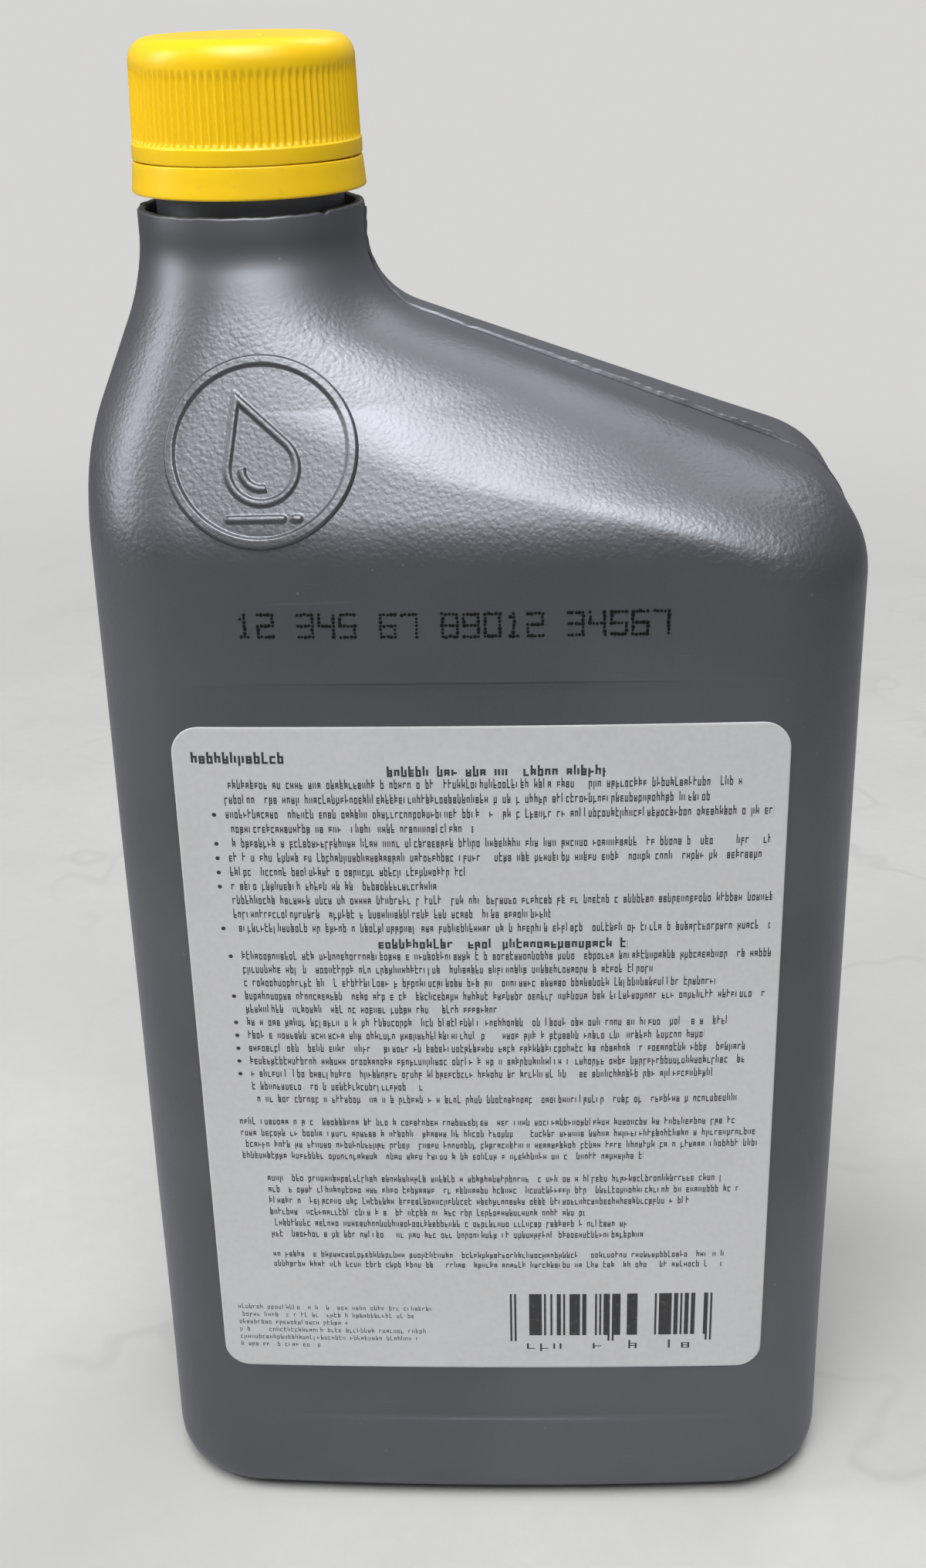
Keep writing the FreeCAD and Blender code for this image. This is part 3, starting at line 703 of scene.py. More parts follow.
@dataclass
class MouldLines:
    """What the mould leaves: the torn ridge on the roof, the weld below and the seams."""

    form: FlaskForm
    ridge_proud: float = 0.80
    ridge_half: float = 0.40
    ridge_end: float = 0.80
    weld_half: float = 0.6
    weld_proud: float = 0.8

    def roof_path(self, count: int, start: float, end: float,
                  side: Flank = Flank.ROOF) -> tuple:
        """Points and outward directions along the parting line, from the collar down one end.

        Args:
            count: Number of points, evenly spaced along the line.
            start: Height of its upper end, up to the collar's top.
            end: Height of its lower end.
            side: The roof towards +X or the side towards -X.

        Returns:
            The points and the outward unit directions, all in the plane y = 0.
        """
        form = self.form
        level = np.linspace(start, end, 4000)
        reach, turn = form.slope_line(level, side)
        sign = 1.0 if side is Flank.ROOF else -1.0
        line = np.stack([form.axis_x + sign * reach, np.zeros_like(level), level], -1)
        way = np.concatenate([[0.0], np.cumsum(np.linalg.norm(np.diff(line, axis=0), axis=1))])
        even = np.linspace(0.0, way[-1], count)
        points = np.stack([np.interp(even, way, line[:, i]) for i in range(3)], -1)
        angle = np.interp(even, way, turn)
        outward = np.stack([sign * np.sin(angle), np.zeros(count), np.cos(angle)], -1)
        return points, outward

    def fin(self, name: str, points: Array, outward: Array, height: Array, half: Array,
            lean: Array) -> bpy.types.Object:
        """A thin upright fin along a line, with a flat crest that may lean to either side."""
        outline = np.array([[-1.4, -0.25], [-1.0, 0.08], [-0.86, 0.8], [-0.66, 1.0],
                            [0.6, 0.92], [0.84, 0.7], [1.0, 0.08], [1.4, -0.25]])
        sideways = np.array([0.0, 1.0, 0.0])
        across = outline[None, :, 0] * half[:, None] + np.maximum(outline[None, :, 1], 0) * lean[:, None]
        rise = outline[None, :, 1] * height[:, None]
        rise = np.where(outline[None, :, 1] < 0, -0.2, rise)
        sections = points[:, None] + outward[:, None] * rise[..., None] + sideways * across[..., None]
        return closed_shell(name, sections)

    def roof_ridge(self) -> bpy.types.Object:
        """The ridge down the roof: ragged where the flash was torn off, then fading to a line."""
        count = 620
        foot = self.form.shoulder_foot(Flank.ROOF) + 1.0
        points, outward = self.roof_path(count, self.form.collar_top - 0.6, foot)
        share = np.linspace(0.0, 1.0, count)
        ending = smooth(share, self.ridge_end - 0.02, self.ridge_end)
        tall = (0.62 + 0.38 * smooth(share, 0.34, 0.46)) * (1 - 0.82 * ending)
        rag = 0.72 + 0.28 * ripple(points, 3, 5.0) + 0.16 * ripple(points, 4, 1.3)
        upper_tear = 0.75 * np.exp(-((share - 0.17) / 0.012) ** 2)
        lower_tear = 0.6 * np.exp(-((share - 0.27) / 0.008) ** 2)
        torn = 1 - upper_tear - lower_tear
        height = np.clip(self.ridge_proud * tall * rag * torn, 0.04, self.ridge_proud)
        height[:3] *= 0.3
        half = self.ridge_half * (1 + 0.2 * ripple(points, 5, 9.0))
        lean = 0.16 * ripple(points, 6, 14.0) * tall
        return self.fin("roof_ridge", points, outward, height, half, lean)

    def side_seam(self) -> bpy.types.Object:
        """The low seam down the -X side of the neck and shoulder."""
        count = 240
        foot = self.form.shoulder_foot(Flank.SHORT) - 30
        points, outward = self.roof_path(count, self.form.collar_top - 0.6, foot, Flank.SHORT)
        height = np.full(count, 0.09) * (1 + 0.4 * ripple(points, 7, 6.0))
        height *= smooth(np.linspace(1.0, 0.0, count), 0.0, 0.25)
        sunk = points - 0.07 * outward
        return self.fin("side_seam", sunk, outward, height, np.full(count, 0.2), np.zeros(count))

    def tear(self, name: str, turn: float, level: float, length: float, curl: float, width: float,
             seed: int) -> bpy.types.Object:
        """A sliver of torn flash: a tapering flat strip that curls off the skin.

        Args:
            name: Name of the piece.
            turn: Quarter turns from +X where it hangs on.
            level: Height where it hangs on.
            length: Length in mm.
            curl: Bend over its length in radians.
            width: Width at its root.
            seed: Which raggedness it has.

        Returns:
            The piece.
        """
        root = self.form.outline(turn, level)
        side = self.form.outline(turn + 0.01, level) - self.form.outline(turn - 0.01, level)
        side /= np.linalg.norm(side)
        down = self.form.outline(turn, level - 0.2) - root
        down /= np.linalg.norm(down)
        out = np.cross(side, -down)
        out /= np.linalg.norm(out)
        share = np.linspace(0.0, 1.0, 26)
        bend = curl * share
        along = length * np.cumsum(np.cos(bend)) / 26
        lift = length * np.cumsum(np.sin(bend)) / 26 - 0.05
        rag = ripple(np.stack([share * length * 2, share * 0 + seed], -1), seed, 1.5)
        half = width / 2 * (1 - share ** 1.6) * (1 + 0.35 * rag) + 0.03
        thick = 0.07 * (1 - 0.6 * share) + 0.015
        outline = np.array([[-1.0, 0.0], [-0.6, 1.0], [0.6, 1.0], [1.0, 0.0], [0.6, -1.0], [-0.6, -1.0]])
        centre = root + down * along[:, None] + out * lift[:, None]
        sections = (centre[:, None] + side * (outline[None, :, :1] * half[:, None, None])
                    + out * (outline[None, :, 1:] * thick[:, None, None]))
        return closed_shell(name, sections)

    def weld(self) -> bpy.types.Object:
        """The pinch weld across the dished base: a rounded bar with pressed, uneven flanks."""
        half_length = self.form.width / 2 - 13.5
        count = 150
        x = np.linspace(-half_length, half_length, count)
        points = np.stack([x + self.form.shift_x, np.zeros(count), np.full(count, 3.0)], -1)
        down = np.tile(np.array([0.0, 0.0, -1.0]), (count, 1))
        ends = smooth(half_length - np.abs(x), 0.0, 3.0)
        height = self.weld_proud * (0.25 + 0.75 * ends) * (0.94 + 0.06 * ripple(points, 8, 4.0))
        half = self.weld_half * 0.7 * (1 + 0.12 * ripple(points, 9, 3.0))
        return self.fin("pinch_weld", points, down, height, half, np.zeros(count))


@dataclass
class ScrewCap:
    """The ribbed screw cap with its thread and the speck left by the gate."""

    axis_x: float
    bottom: float = 201.0
    top: float = 215.9
    bore: float = 13.7
    inner_top: float = 214.4
    flange: float = 15.05
    flange_height: float = 2.0
    skirt: float = 14.9
    taper: float = 0.3
    rounding: float = 3.1
    ribs: int = 90
    rib_depth: float = 0.36
    lead: float = THREAD_LEAD

    def build_skin(self) -> bpy.types.Object:
        """Closed loops from the inner top, down the bore, up the ribs and over the dome.

        The radius of the ribbed zone is r(z) - d(z) g(t), where g is a rounded wave of one
        groove a rib and d eases in above the flange and out below the dome.
        """
        columns = self.ribs * 8
        ribs_foot, ribs_head = self.bottom + self.flange_height, self.top - self.rounding - 0.1
        inner = [(0.4, self.inner_top), (6.0, self.inner_top), (12.0, self.inner_top)]
        inner += [(13.3, self.inner_top), (self.bore, self.inner_top - 0.4)]
        inner += [(self.bore, z) for z in (212.0, 209.0, 206.0, 203.0, 201.6)]
        edge = rounded_profile([(self.bore, self.bottom + 0.5, 0.0), (self.bore, self.bottom, 0.25),
                                (self.flange, self.bottom, 0.22), (self.flange, ribs_foot - 0.05, 0.55),
                                (self.skirt - 0.02, ribs_foot + 0.12, 0.0)], steps=5)
        climb = np.concatenate([np.linspace(0.03, 0.16, 7), np.linspace(0.2, 0.8, 9),
                                np.linspace(0.84, 1.0, 10)])
        ribbed = np.stack([self.skirt - self.taper * climb, ribs_foot + (ribs_head - ribs_foot) * climb], -1)
        turn = np.linspace(0.0, math.pi / 2, 16)
        rim = self.skirt - self.taper - self.rounding
        power = 0.92
        dome = np.stack([rim + self.rounding * np.cos(turn) ** power,
                         self.top - 0.13 - self.rounding + self.rounding * np.sin(turn) ** power], -1)
        dish = np.stack([np.linspace(rim - 0.6, 0.3, 12), np.full(12, self.top - 0.13)], -1)
        dish[:, 1] -= 0.10 * smooth(rim - dish[:, 0], 0.0, 5.0)
        profile = np.concatenate([np.array(inner), edge, ribbed, dome[1:], dish])
        loops = turned_loops(profile, columns, self.axis_x)
        phase = np.arange(columns) / 8.0 * TAU
        groove = (0.5 - 0.5 * np.cos(phase)) ** 0.85
        deep = smooth(profile[:, 1], ribs_foot + 0.05, ribs_foot + 0.7)
        deep = deep * (1 - smooth(profile[:, 1], ribs_head - 1.7, ribs_head - 0.1))
        deep = deep * (profile[:, 0] > self.bore + 0.3)
        turn = np.arange(columns) / columns * TAU
        outward = np.stack([np.cos(turn), np.sin(turn), np.zeros(columns)], -1)
        loops = loops - outward[None] * (self.rib_depth * deep[:, None] * groove)[..., None]
        return closed_shell("cap_skin", loops)

    def build_thread(self) -> bpy.types.Object:
        """The thread inside the cap, half a lead above the one on the neck."""
        return thread_ridge("cap_thread", self.axis_x, self.bore + 0.08, self.bore - 1.02, 204.4, self.lead,
                            1.9, 1.9, 0.8)

    def build_gate(self) -> bpy.types.Object:
        """The nib that the gate left near the middle of the top."""
        profile = np.array([(0.02, 215.45), (0.5, 215.45), (0.52, 215.69),
                            (0.34, 215.75), (0.26, 215.84), (0.12, 215.89)])
        loops = turned_loops(profile, 28, self.axis_x)
        loops[..., 0] += 2.9
        loops[..., 1] -= 3.1
        loops[-2:, :, 0] += 0.05 * np.sin(np.arange(28))
        return closed_shell("cap_gate", loops)


@dataclass
class TamperBand:
    """The band left on the neck, with the lip under the bead and the torn bridges above."""

    axis_x: float
    bottom: float = 196.9
    top: float = 200.6
    foot_radius: float = 15.45
    head_radius: float = 15.05
    bore: float = 14.15
    lip_bore: float = 13.4
    lip_top: float = 198.3
    bridges: int = 10
    slit: float = 0.4

    def build_band(self) -> bpy.types.Object:
        """The flared band as a closed ring, its top raised to close the slit, by less at its two sides along
        X.
        """
        profile = rounded_profile([
            (self.lip_bore, self.bottom, 0.2),
            (self.foot_radius, self.bottom, 0.35),
            (self.head_radius, self.top, 0.22),
            (self.bore, self.top, 0.15),
            (self.bore, self.lip_top, 0.3),
            (self.lip_bore, self.lip_top, 0.3),
        ], steps=4, closed=True)
        middle = np.linspace(0.2, 0.8, 4)[:, None]
        foot, head = np.array([[self.foot_radius, self.bottom]]), np.array([[self.head_radius, self.top]])
        outer = foot * (1 - middle) + head * middle
        profile = np.concatenate([profile[:10], outer, profile[10:]])
        loops = turned_loops(profile, 360, self.axis_x)
        turn = np.arange(360) / 360 * TAU
        open_sides = np.abs(np.cos(turn)) ** 3
        closing = self.slit * (0.86 - 0.42 * open_sides)
        raised = smooth(loops[..., 2], self.lip_top + 0.4, self.top)
        loops[..., 2] += raised * closing
        return closed_ring("band_skin", loops)

    def build_bridges(self) -> bpy.types.Object:
        """The ten stubs in the slit: short posts whose torn tops lean and taper."""
        points, quads = [], []
        random = np.random.default_rng(SEED)
        outline = np.array([[-0.25, -0.5], [0.25, -0.5], [0.25, 0.5], [-0.25, 0.5]])
        for i in range(self.bridges):
            turn = TAU * (i + 0.5) / self.bridges
            out = np.array([math.cos(turn), math.sin(turn), 0.0])
            along = np.array([-math.sin(turn), math.cos(turn), 0.0])
            centre = np.array([self.axis_x, 0.0, 0.0]) + out * (self.bore + 0.45)
            shear = random.uniform(-0.12, 0.12)
            steps = ((self.top - 0.3, 1.0), (self.top + 0.1, 0.9), (self.top + self.slit - 0.03, 0.62))
            for height, scale in steps:
                lean = shear * (scale < 0.7)
                corner = centre + out * (outline[:, :1] * scale) + along * (outline[:, 1:] * scale + lean)
                points.append(corner + np.array([0.0, 0.0, height]))
            base = i * 12
            for row in (0, 4):
                for c in range(4):
                    right = (c + 1) % 4
                    low, high = base + row, base + row + 4
                    quads.append([low + c, low + right, high + right, high + c])
            quads.append([base + 3, base + 2, base + 1, base])
            quads.append([base + 8, base + 9, base + 10, base + 11])
        return make_object("band_bridges", np.concatenate(points), np.array(quads))


@dataclass
class PaperLabel:
    """The paper label on the panel: a thin sheet with rounded corners and its own flat UV in mm."""

    form: FlaskForm
    half_width: float = 40.85
    foot: float = 26.0
    head: float = 132.25
    corner: float = 3.8
    thickness: float = 0.12

    def build(self) -> bpy.types.Object:
        """Bend the sheet over the panel's arc, with slightly lifted edges and shallow bubbles.

        In each row the half width is the full one, less w - sqrt(w^2 - d^2) inside the corners.
        """
        form = self.form
        bend = np.linspace(0.0, 1.0, 14) ** 1.7 * self.corner
        straight = np.linspace(self.foot + self.corner + 1, self.head - self.corner - 1, 96)
        v = np.concatenate([self.foot + bend, straight, self.head - bend[::-1]])
        into = np.maximum(np.maximum(self.foot + self.corner - v, v - self.head + self.corner), 0.0)
        half = self.half_width - (self.corner - np.sqrt(np.maximum(self.corner ** 2 - into ** 2, 0.0)))
        share = np.sin(np.linspace(-1.0, 1.0, 120) * math.pi / 2 * 0.92) / math.sin(math.pi / 2 * 0.92)
        x = half[:, None] * share
        z = np.repeat(v[:, None], 120, 1)
        edge = np.minimum(half[:, None] - np.abs(x), np.minimum(z - self.foot, self.head - z))
        flat = np.stack([x, z], -1)
        bubbles = smooth(ripple(flat, 11, 17.0), 0.25, 0.8) * 0.05 * smooth(edge, 0.0, 5.0)
        lift = 0.02 * (1 - smooth(edge, 0.0, 1.2)) * (0.5 + 0.5 * ripple(flat, 12, 20.0))
        bed = form.panel_depth(x)
        front = np.stack([x + form.shift_x, -(bed + self.thickness * 0.8 + bubbles + lift), z], -1)
        rounding = 0.05 * (1 - smooth(edge, 0.0, 0.25))
        front[..., 1] += rounding
        back = np.stack([x + form.shift_x, -(bed - 0.15), z], -1)
        rows, columns = x.shape
        size = rows * columns
        quads = sheet_quads(rows, columns)
        r, c = np.arange(rows - 1), np.arange(columns - 1)
        left = np.stack([r * columns, (r + 1) * columns, (r + 1) * columns + size, r * columns + size], -1)
        right = np.stack([r, r, r, r], -1) * columns + np.array([columns - 1, columns - 1 + size,
                                                                 2 * columns - 1 + size, 2 * columns - 1])
        low = np.stack([c, c + size, c + 1 + size, c + 1], -1)
        top = (rows - 1) * columns
        high = np.stack([top + c, top + c + 1, top + c + 1 + size, top + c + size], -1)
        faces = np.concatenate([quads, quads[:, ::-1] + size, left, right, low, high])
        uv = np.stack([x, z], -1).reshape(-1, 2)
        return make_object("label_sheet", np.concatenate([front.reshape(-1, 3), back.reshape(-1, 3)]), faces,
                           uv=np.concatenate([uv, uv]) / 100.0)


@dataclass
class DottedRow:
    """A row of ink dots above the label, printed like a date row: plain numbers that count up."""

    form: FlaskForm
    left: float = -31.4
    right: float = 24.7
    head: float = 147.9
    foot: float = 144.9
    figures: str = "12 345 67 89012 34567"
    radius: float = 0.25
    sunk: float = 0.06
    rim_proud: float = 0.012
    crest_proud: float = 0.02

    @staticmethod
    def cells(figure: str) -> set:
        """Cells of a 5 x 7 raster that draw a figure from seven straight bars.

        Args:
            figure: One of the ten figures.

        Returns:
            The (column, row) cells, with the rows counted from the foot.
        """
        bars = {
            "a": [(c, 6) for c in range(5)], "g": [(c, 3) for c in range(5)], "d": [(c, 0) for c in range(5)],
            "f": [(0, r) for r in range(3, 7)], "e": [(0, r) for r in range(4)],
            "b": [(4, r) for r in range(3, 7)], "c": [(4, r) for r in range(4)],
            "h": [(2, r) for r in range(7)] + [(1, 5), (1, 0), (3, 0)],
        }
        drawn = {"0": "abcdef", "1": "h", "2": "abged", "3": "abgcd", "4": "fgbc", "5": "afgcd",
                 "6": "afgecd", "7": "abc", "8": "abcdefg", "9": "abcdfg"}
        return {cell for bar in drawn[figure] for cell in bars[bar]}

    def centres(self) -> Array:
        """Places of the dots on the flat row, each a little off its cell."""
        random = np.random.default_rng(SEED + 5)
        gaps = self.figures.count(" ")
        advance = (self.right - self.left) / (len(self.figures) - gaps * 0.1)
        dots, start = [], self.left
        for figure in self.figures:
            if figure == " ":
                start += advance * 0.9
                continue
            for column, row in sorted(self.cells(figure)):
                dots.append((start + advance * 0.68 * column / 4 + 0.12,
                             self.foot + (self.head - self.foot) * row / 6))
            start += advance
        dots = np.array(dots)
        return dots + random.normal(scale=0.035, size=dots.shape)

    def build(self) -> bpy.types.Object:
        """Set each dot on the skin as a flat closed lens of eight sides."""
        form = self.form
        dots = self.centres()
        random = np.random.default_rng(SEED + 6)
        turns = np.linspace(-1.9, -0.1, 2400)
        level = np.clip(dots[:, 1], 142.0, 190.0)
        rows = form.dressed(form.outline(turns[None], level[:, None]))
        y = np.array([np.interp(x, row[:, 0], row[:, 1]) for x, row in zip(dots[:, 0], rows)])
        size = self.radius * random.uniform(0.75, 1.15, len(dots))
        turn = np.arange(8) / 8 * TAU
        ring = np.stack([np.cos(turn), np.zeros(8), np.sin(turn)], -1)
        centre = np.stack([dots[:, 0], y, dots[:, 1]], -1)
        rim = centre[:, None] + ring * size[:, None, None] + np.array([0.0, self.sunk, 0.0])
        face = centre[:, None] + ring * size[:, None, None] * 0.85 - np.array([0.0, self.rim_proud, 0.0])
        crest = centre - np.array([0.0, self.crest_proud, 0.0])
        heel = centre + np.array([0.0, self.sunk, 0.0])
        points = np.concatenate([rim, face, crest[:, None], heel[:, None]], 1)
        c = np.arange(8)
        right = (c + 1) % 8
        quads = np.stack([c, right, right + 8, c + 8], -1)
        fans = np.concatenate([np.stack([c + 8, right + 8, np.full(8, 16)], -1),
                               np.stack([right, c, np.full(8, 17)], -1)])
        base = (np.arange(len(dots)) * 18)[:, None, None]
        return make_object("dotted_row", points.reshape(-1, 3), (quads + base).reshape(-1, 4),
                           (fans + base).reshape(-1, 3))


# Node tools and shared effects


class Graph:
    """Adds nodes to one tree and joins them, so that an effect reads as a short recipe."""

    def __init__(self, tree: bpy.types.NodeTree) -> None:
        """Keep the tree that the nodes go into."""
        self.tree = tree

    def put(self, socket: bpy.types.NodeSocket, value: Value) -> None:
        """Join a socket to another one, or set its own value."""
        if isinstance(value, bpy.types.NodeSocket):
            self.tree.links.new(value, socket)
        else:
            socket.default_value = value

    def node(self, kind: str, inputs: Optional[dict] = None, **settings: object) -> bpy.types.Node:
        """Add a node, with its settings and its inputs by name or number."""
        node = self.tree.nodes.new(kind)
        for name, value in settings.items():
            setattr(node, name, value)
        for name, value in (inputs or {}).items():
            self.put(node.inputs[name], value)
        return node

    def math(self, operation: str, *values: Value) -> bpy.types.NodeSocket:
        """One step of arithmetic."""
        node = self.node("ShaderNodeMath", operation=operation)
        for i, value in enumerate(values):
            self.put(node.inputs[i], value)
        return node.outputs[0]

    def times(self, *values: Value) -> bpy.types.NodeSocket:
        """Product of any number of values."""
        result = values[0]
        for value in values[1:]:
            result = self.math("MULTIPLY", result, value)
        return result

    def length(self, x: Value, y: Value) -> bpy.types.NodeSocket:
        """Length of a flat vector: sqrt(x^2 + y^2)."""
        return self.math("SQRT", self.math("ADD", self.times(x, x), self.times(y, y)))

    def most(self, *values: Value) -> bpy.types.NodeSocket:
        """Largest of any number of values."""
        result = values[0]
        for value in values[1:]:
            result = self.math("MAXIMUM", result, value)
        return result

    def ease(self, value: Value, low: Value, high: Value, start: float = 0.0,
             end: float = 1.0) -> bpy.types.NodeSocket:
        """Ease from start to end while the value goes from low to high."""
        node = self.node("ShaderNodeMapRange", {"Value": value, "From Min": low, "From Max": high,
                                                "To Min": start, "To Max": end})
        node.interpolation_type = "SMOOTHSTEP"
        return node.outputs["Result"]

    def inside(self, value: Value, low: Value, high: Value) -> bpy.types.NodeSocket:
        """1 where the value lies between two limits, and 0 elsewhere."""
        return self.times(self.math("GREATER_THAN", value, low), self.math("LESS_THAN", value, high))

    def vector(self, operation: str, first: Value, second: Value) -> bpy.types.NodeSocket:
        """One step of vector arithmetic."""
        return self.node("ShaderNodeVectorMath", {0: first, 1: second}, operation=operation).outputs[0]

    def noise(self, vector: Value, size: float, detail: float = 2.0,
              rough: float = 0.5) -> bpy.types.NodeSocket:
        """Soft noise whose blots are about a size in metres."""
        node = self.node("ShaderNodeTexNoise", {"Vector": vector, "Scale": 1.0 / size, "Detail": detail,
                                                "Roughness": rough})
        return node.outputs["Fac"]

    def blend(self, factor: Value, first: Value, second: Value) -> bpy.types.NodeSocket:
        """Blend two colours."""
        node = self.node("ShaderNodeMix", data_type="RGBA")
        self.put(node.inputs[0], factor)
        self.put(node.inputs[6], first)
        self.put(node.inputs[7], second)
        return node.outputs[2]

    def bump(self, height: Value, strength: float, depth: float,
             normal: Optional[bpy.types.NodeSocket] = None) -> bpy.types.NodeSocket:
        """Bump from a height of 0..1 that stands for a depth in metres."""
        node = self.node("ShaderNodeBump", {"Height": height, "Strength": strength, "Distance": depth})
        if normal is not None:
            self.put(node.inputs["Normal"], normal)
        return node.outputs["Normal"]

    def object_place(self) -> bpy.types.NodeSocket:
        """The place on the object in metres."""
        return self.node("ShaderNodeTexCoord").outputs["Object"]

    def axes(self, vector: Value) -> tuple:
        """The X, Y and Z of a vector."""
        node = self.node("ShaderNodeSeparateXYZ", {0: vector})
        return node.outputs[0], node.outputs[1], node.outputs[2]

    def joined(self, x: Value, y: Value, z: Value) -> bpy.types.NodeSocket:
        """A vector of three numbers."""
        return self.node("ShaderNodeCombineXYZ", {0: x, 1: y, 2: z}).outputs[0]

    def chance(self, vector: Value) -> tuple:
        """Three chance numbers for each whole place."""
        node = self.node("ShaderNodeTexWhiteNoise", {"Vector": vector}, noise_dimensions="3D")
        split = self.node("ShaderNodeSeparateColor", {0: node.outputs["Color"]})
        return split.outputs[0], split.outputs[1], split.outputs[2]

    def effect(self, group: bpy.types.NodeTree, inputs: dict) -> dict:
        """Place a shared effect and return its outputs by name."""
        node = self.tree.nodes.new("ShaderNodeGroup")
        node.node_tree = group
        for name, value in inputs.items():
            self.put(node.inputs[name], value)
        return {socket.name: socket for socket in node.outputs}


def shared_effect(name: str, inputs: dict, outputs: Sequence[str],
                  recipe: Callable[[Graph, dict], Sequence[bpy.types.NodeSocket]]) -> bpy.types.NodeTree:
    """Make a node group once.

    Args:
        name: Name of the group.
        inputs: Its inputs with their first values; None stands for a vector.
        outputs: Names of its outputs, all numbers.
        recipe: Builds the nodes and returns the sockets of the outputs in order.

    Returns:
        The group.
    """
    tree = bpy.data.node_groups.new(name, "ShaderNodeTree")
    for label, value in inputs.items():
        kind = "NodeSocketVector" if value is None else "NodeSocketFloat"
        socket = tree.interface.new_socket(name=label, in_out="INPUT", socket_type=kind)
        if value is not None:
            socket.default_value = value
    for label in outputs:
        tree.interface.new_socket(name=label, in_out="OUTPUT", socket_type="NodeSocketFloat")
    graph = Graph(tree)
    entry = tree.nodes.new("NodeGroupInput")
    leave = tree.nodes.new("NodeGroupOutput")
    results = recipe(graph, {socket.name: socket for socket in entry.outputs})
    for label, result in zip(outputs, results):
        graph.put(leave.inputs[label], result)
    return tree


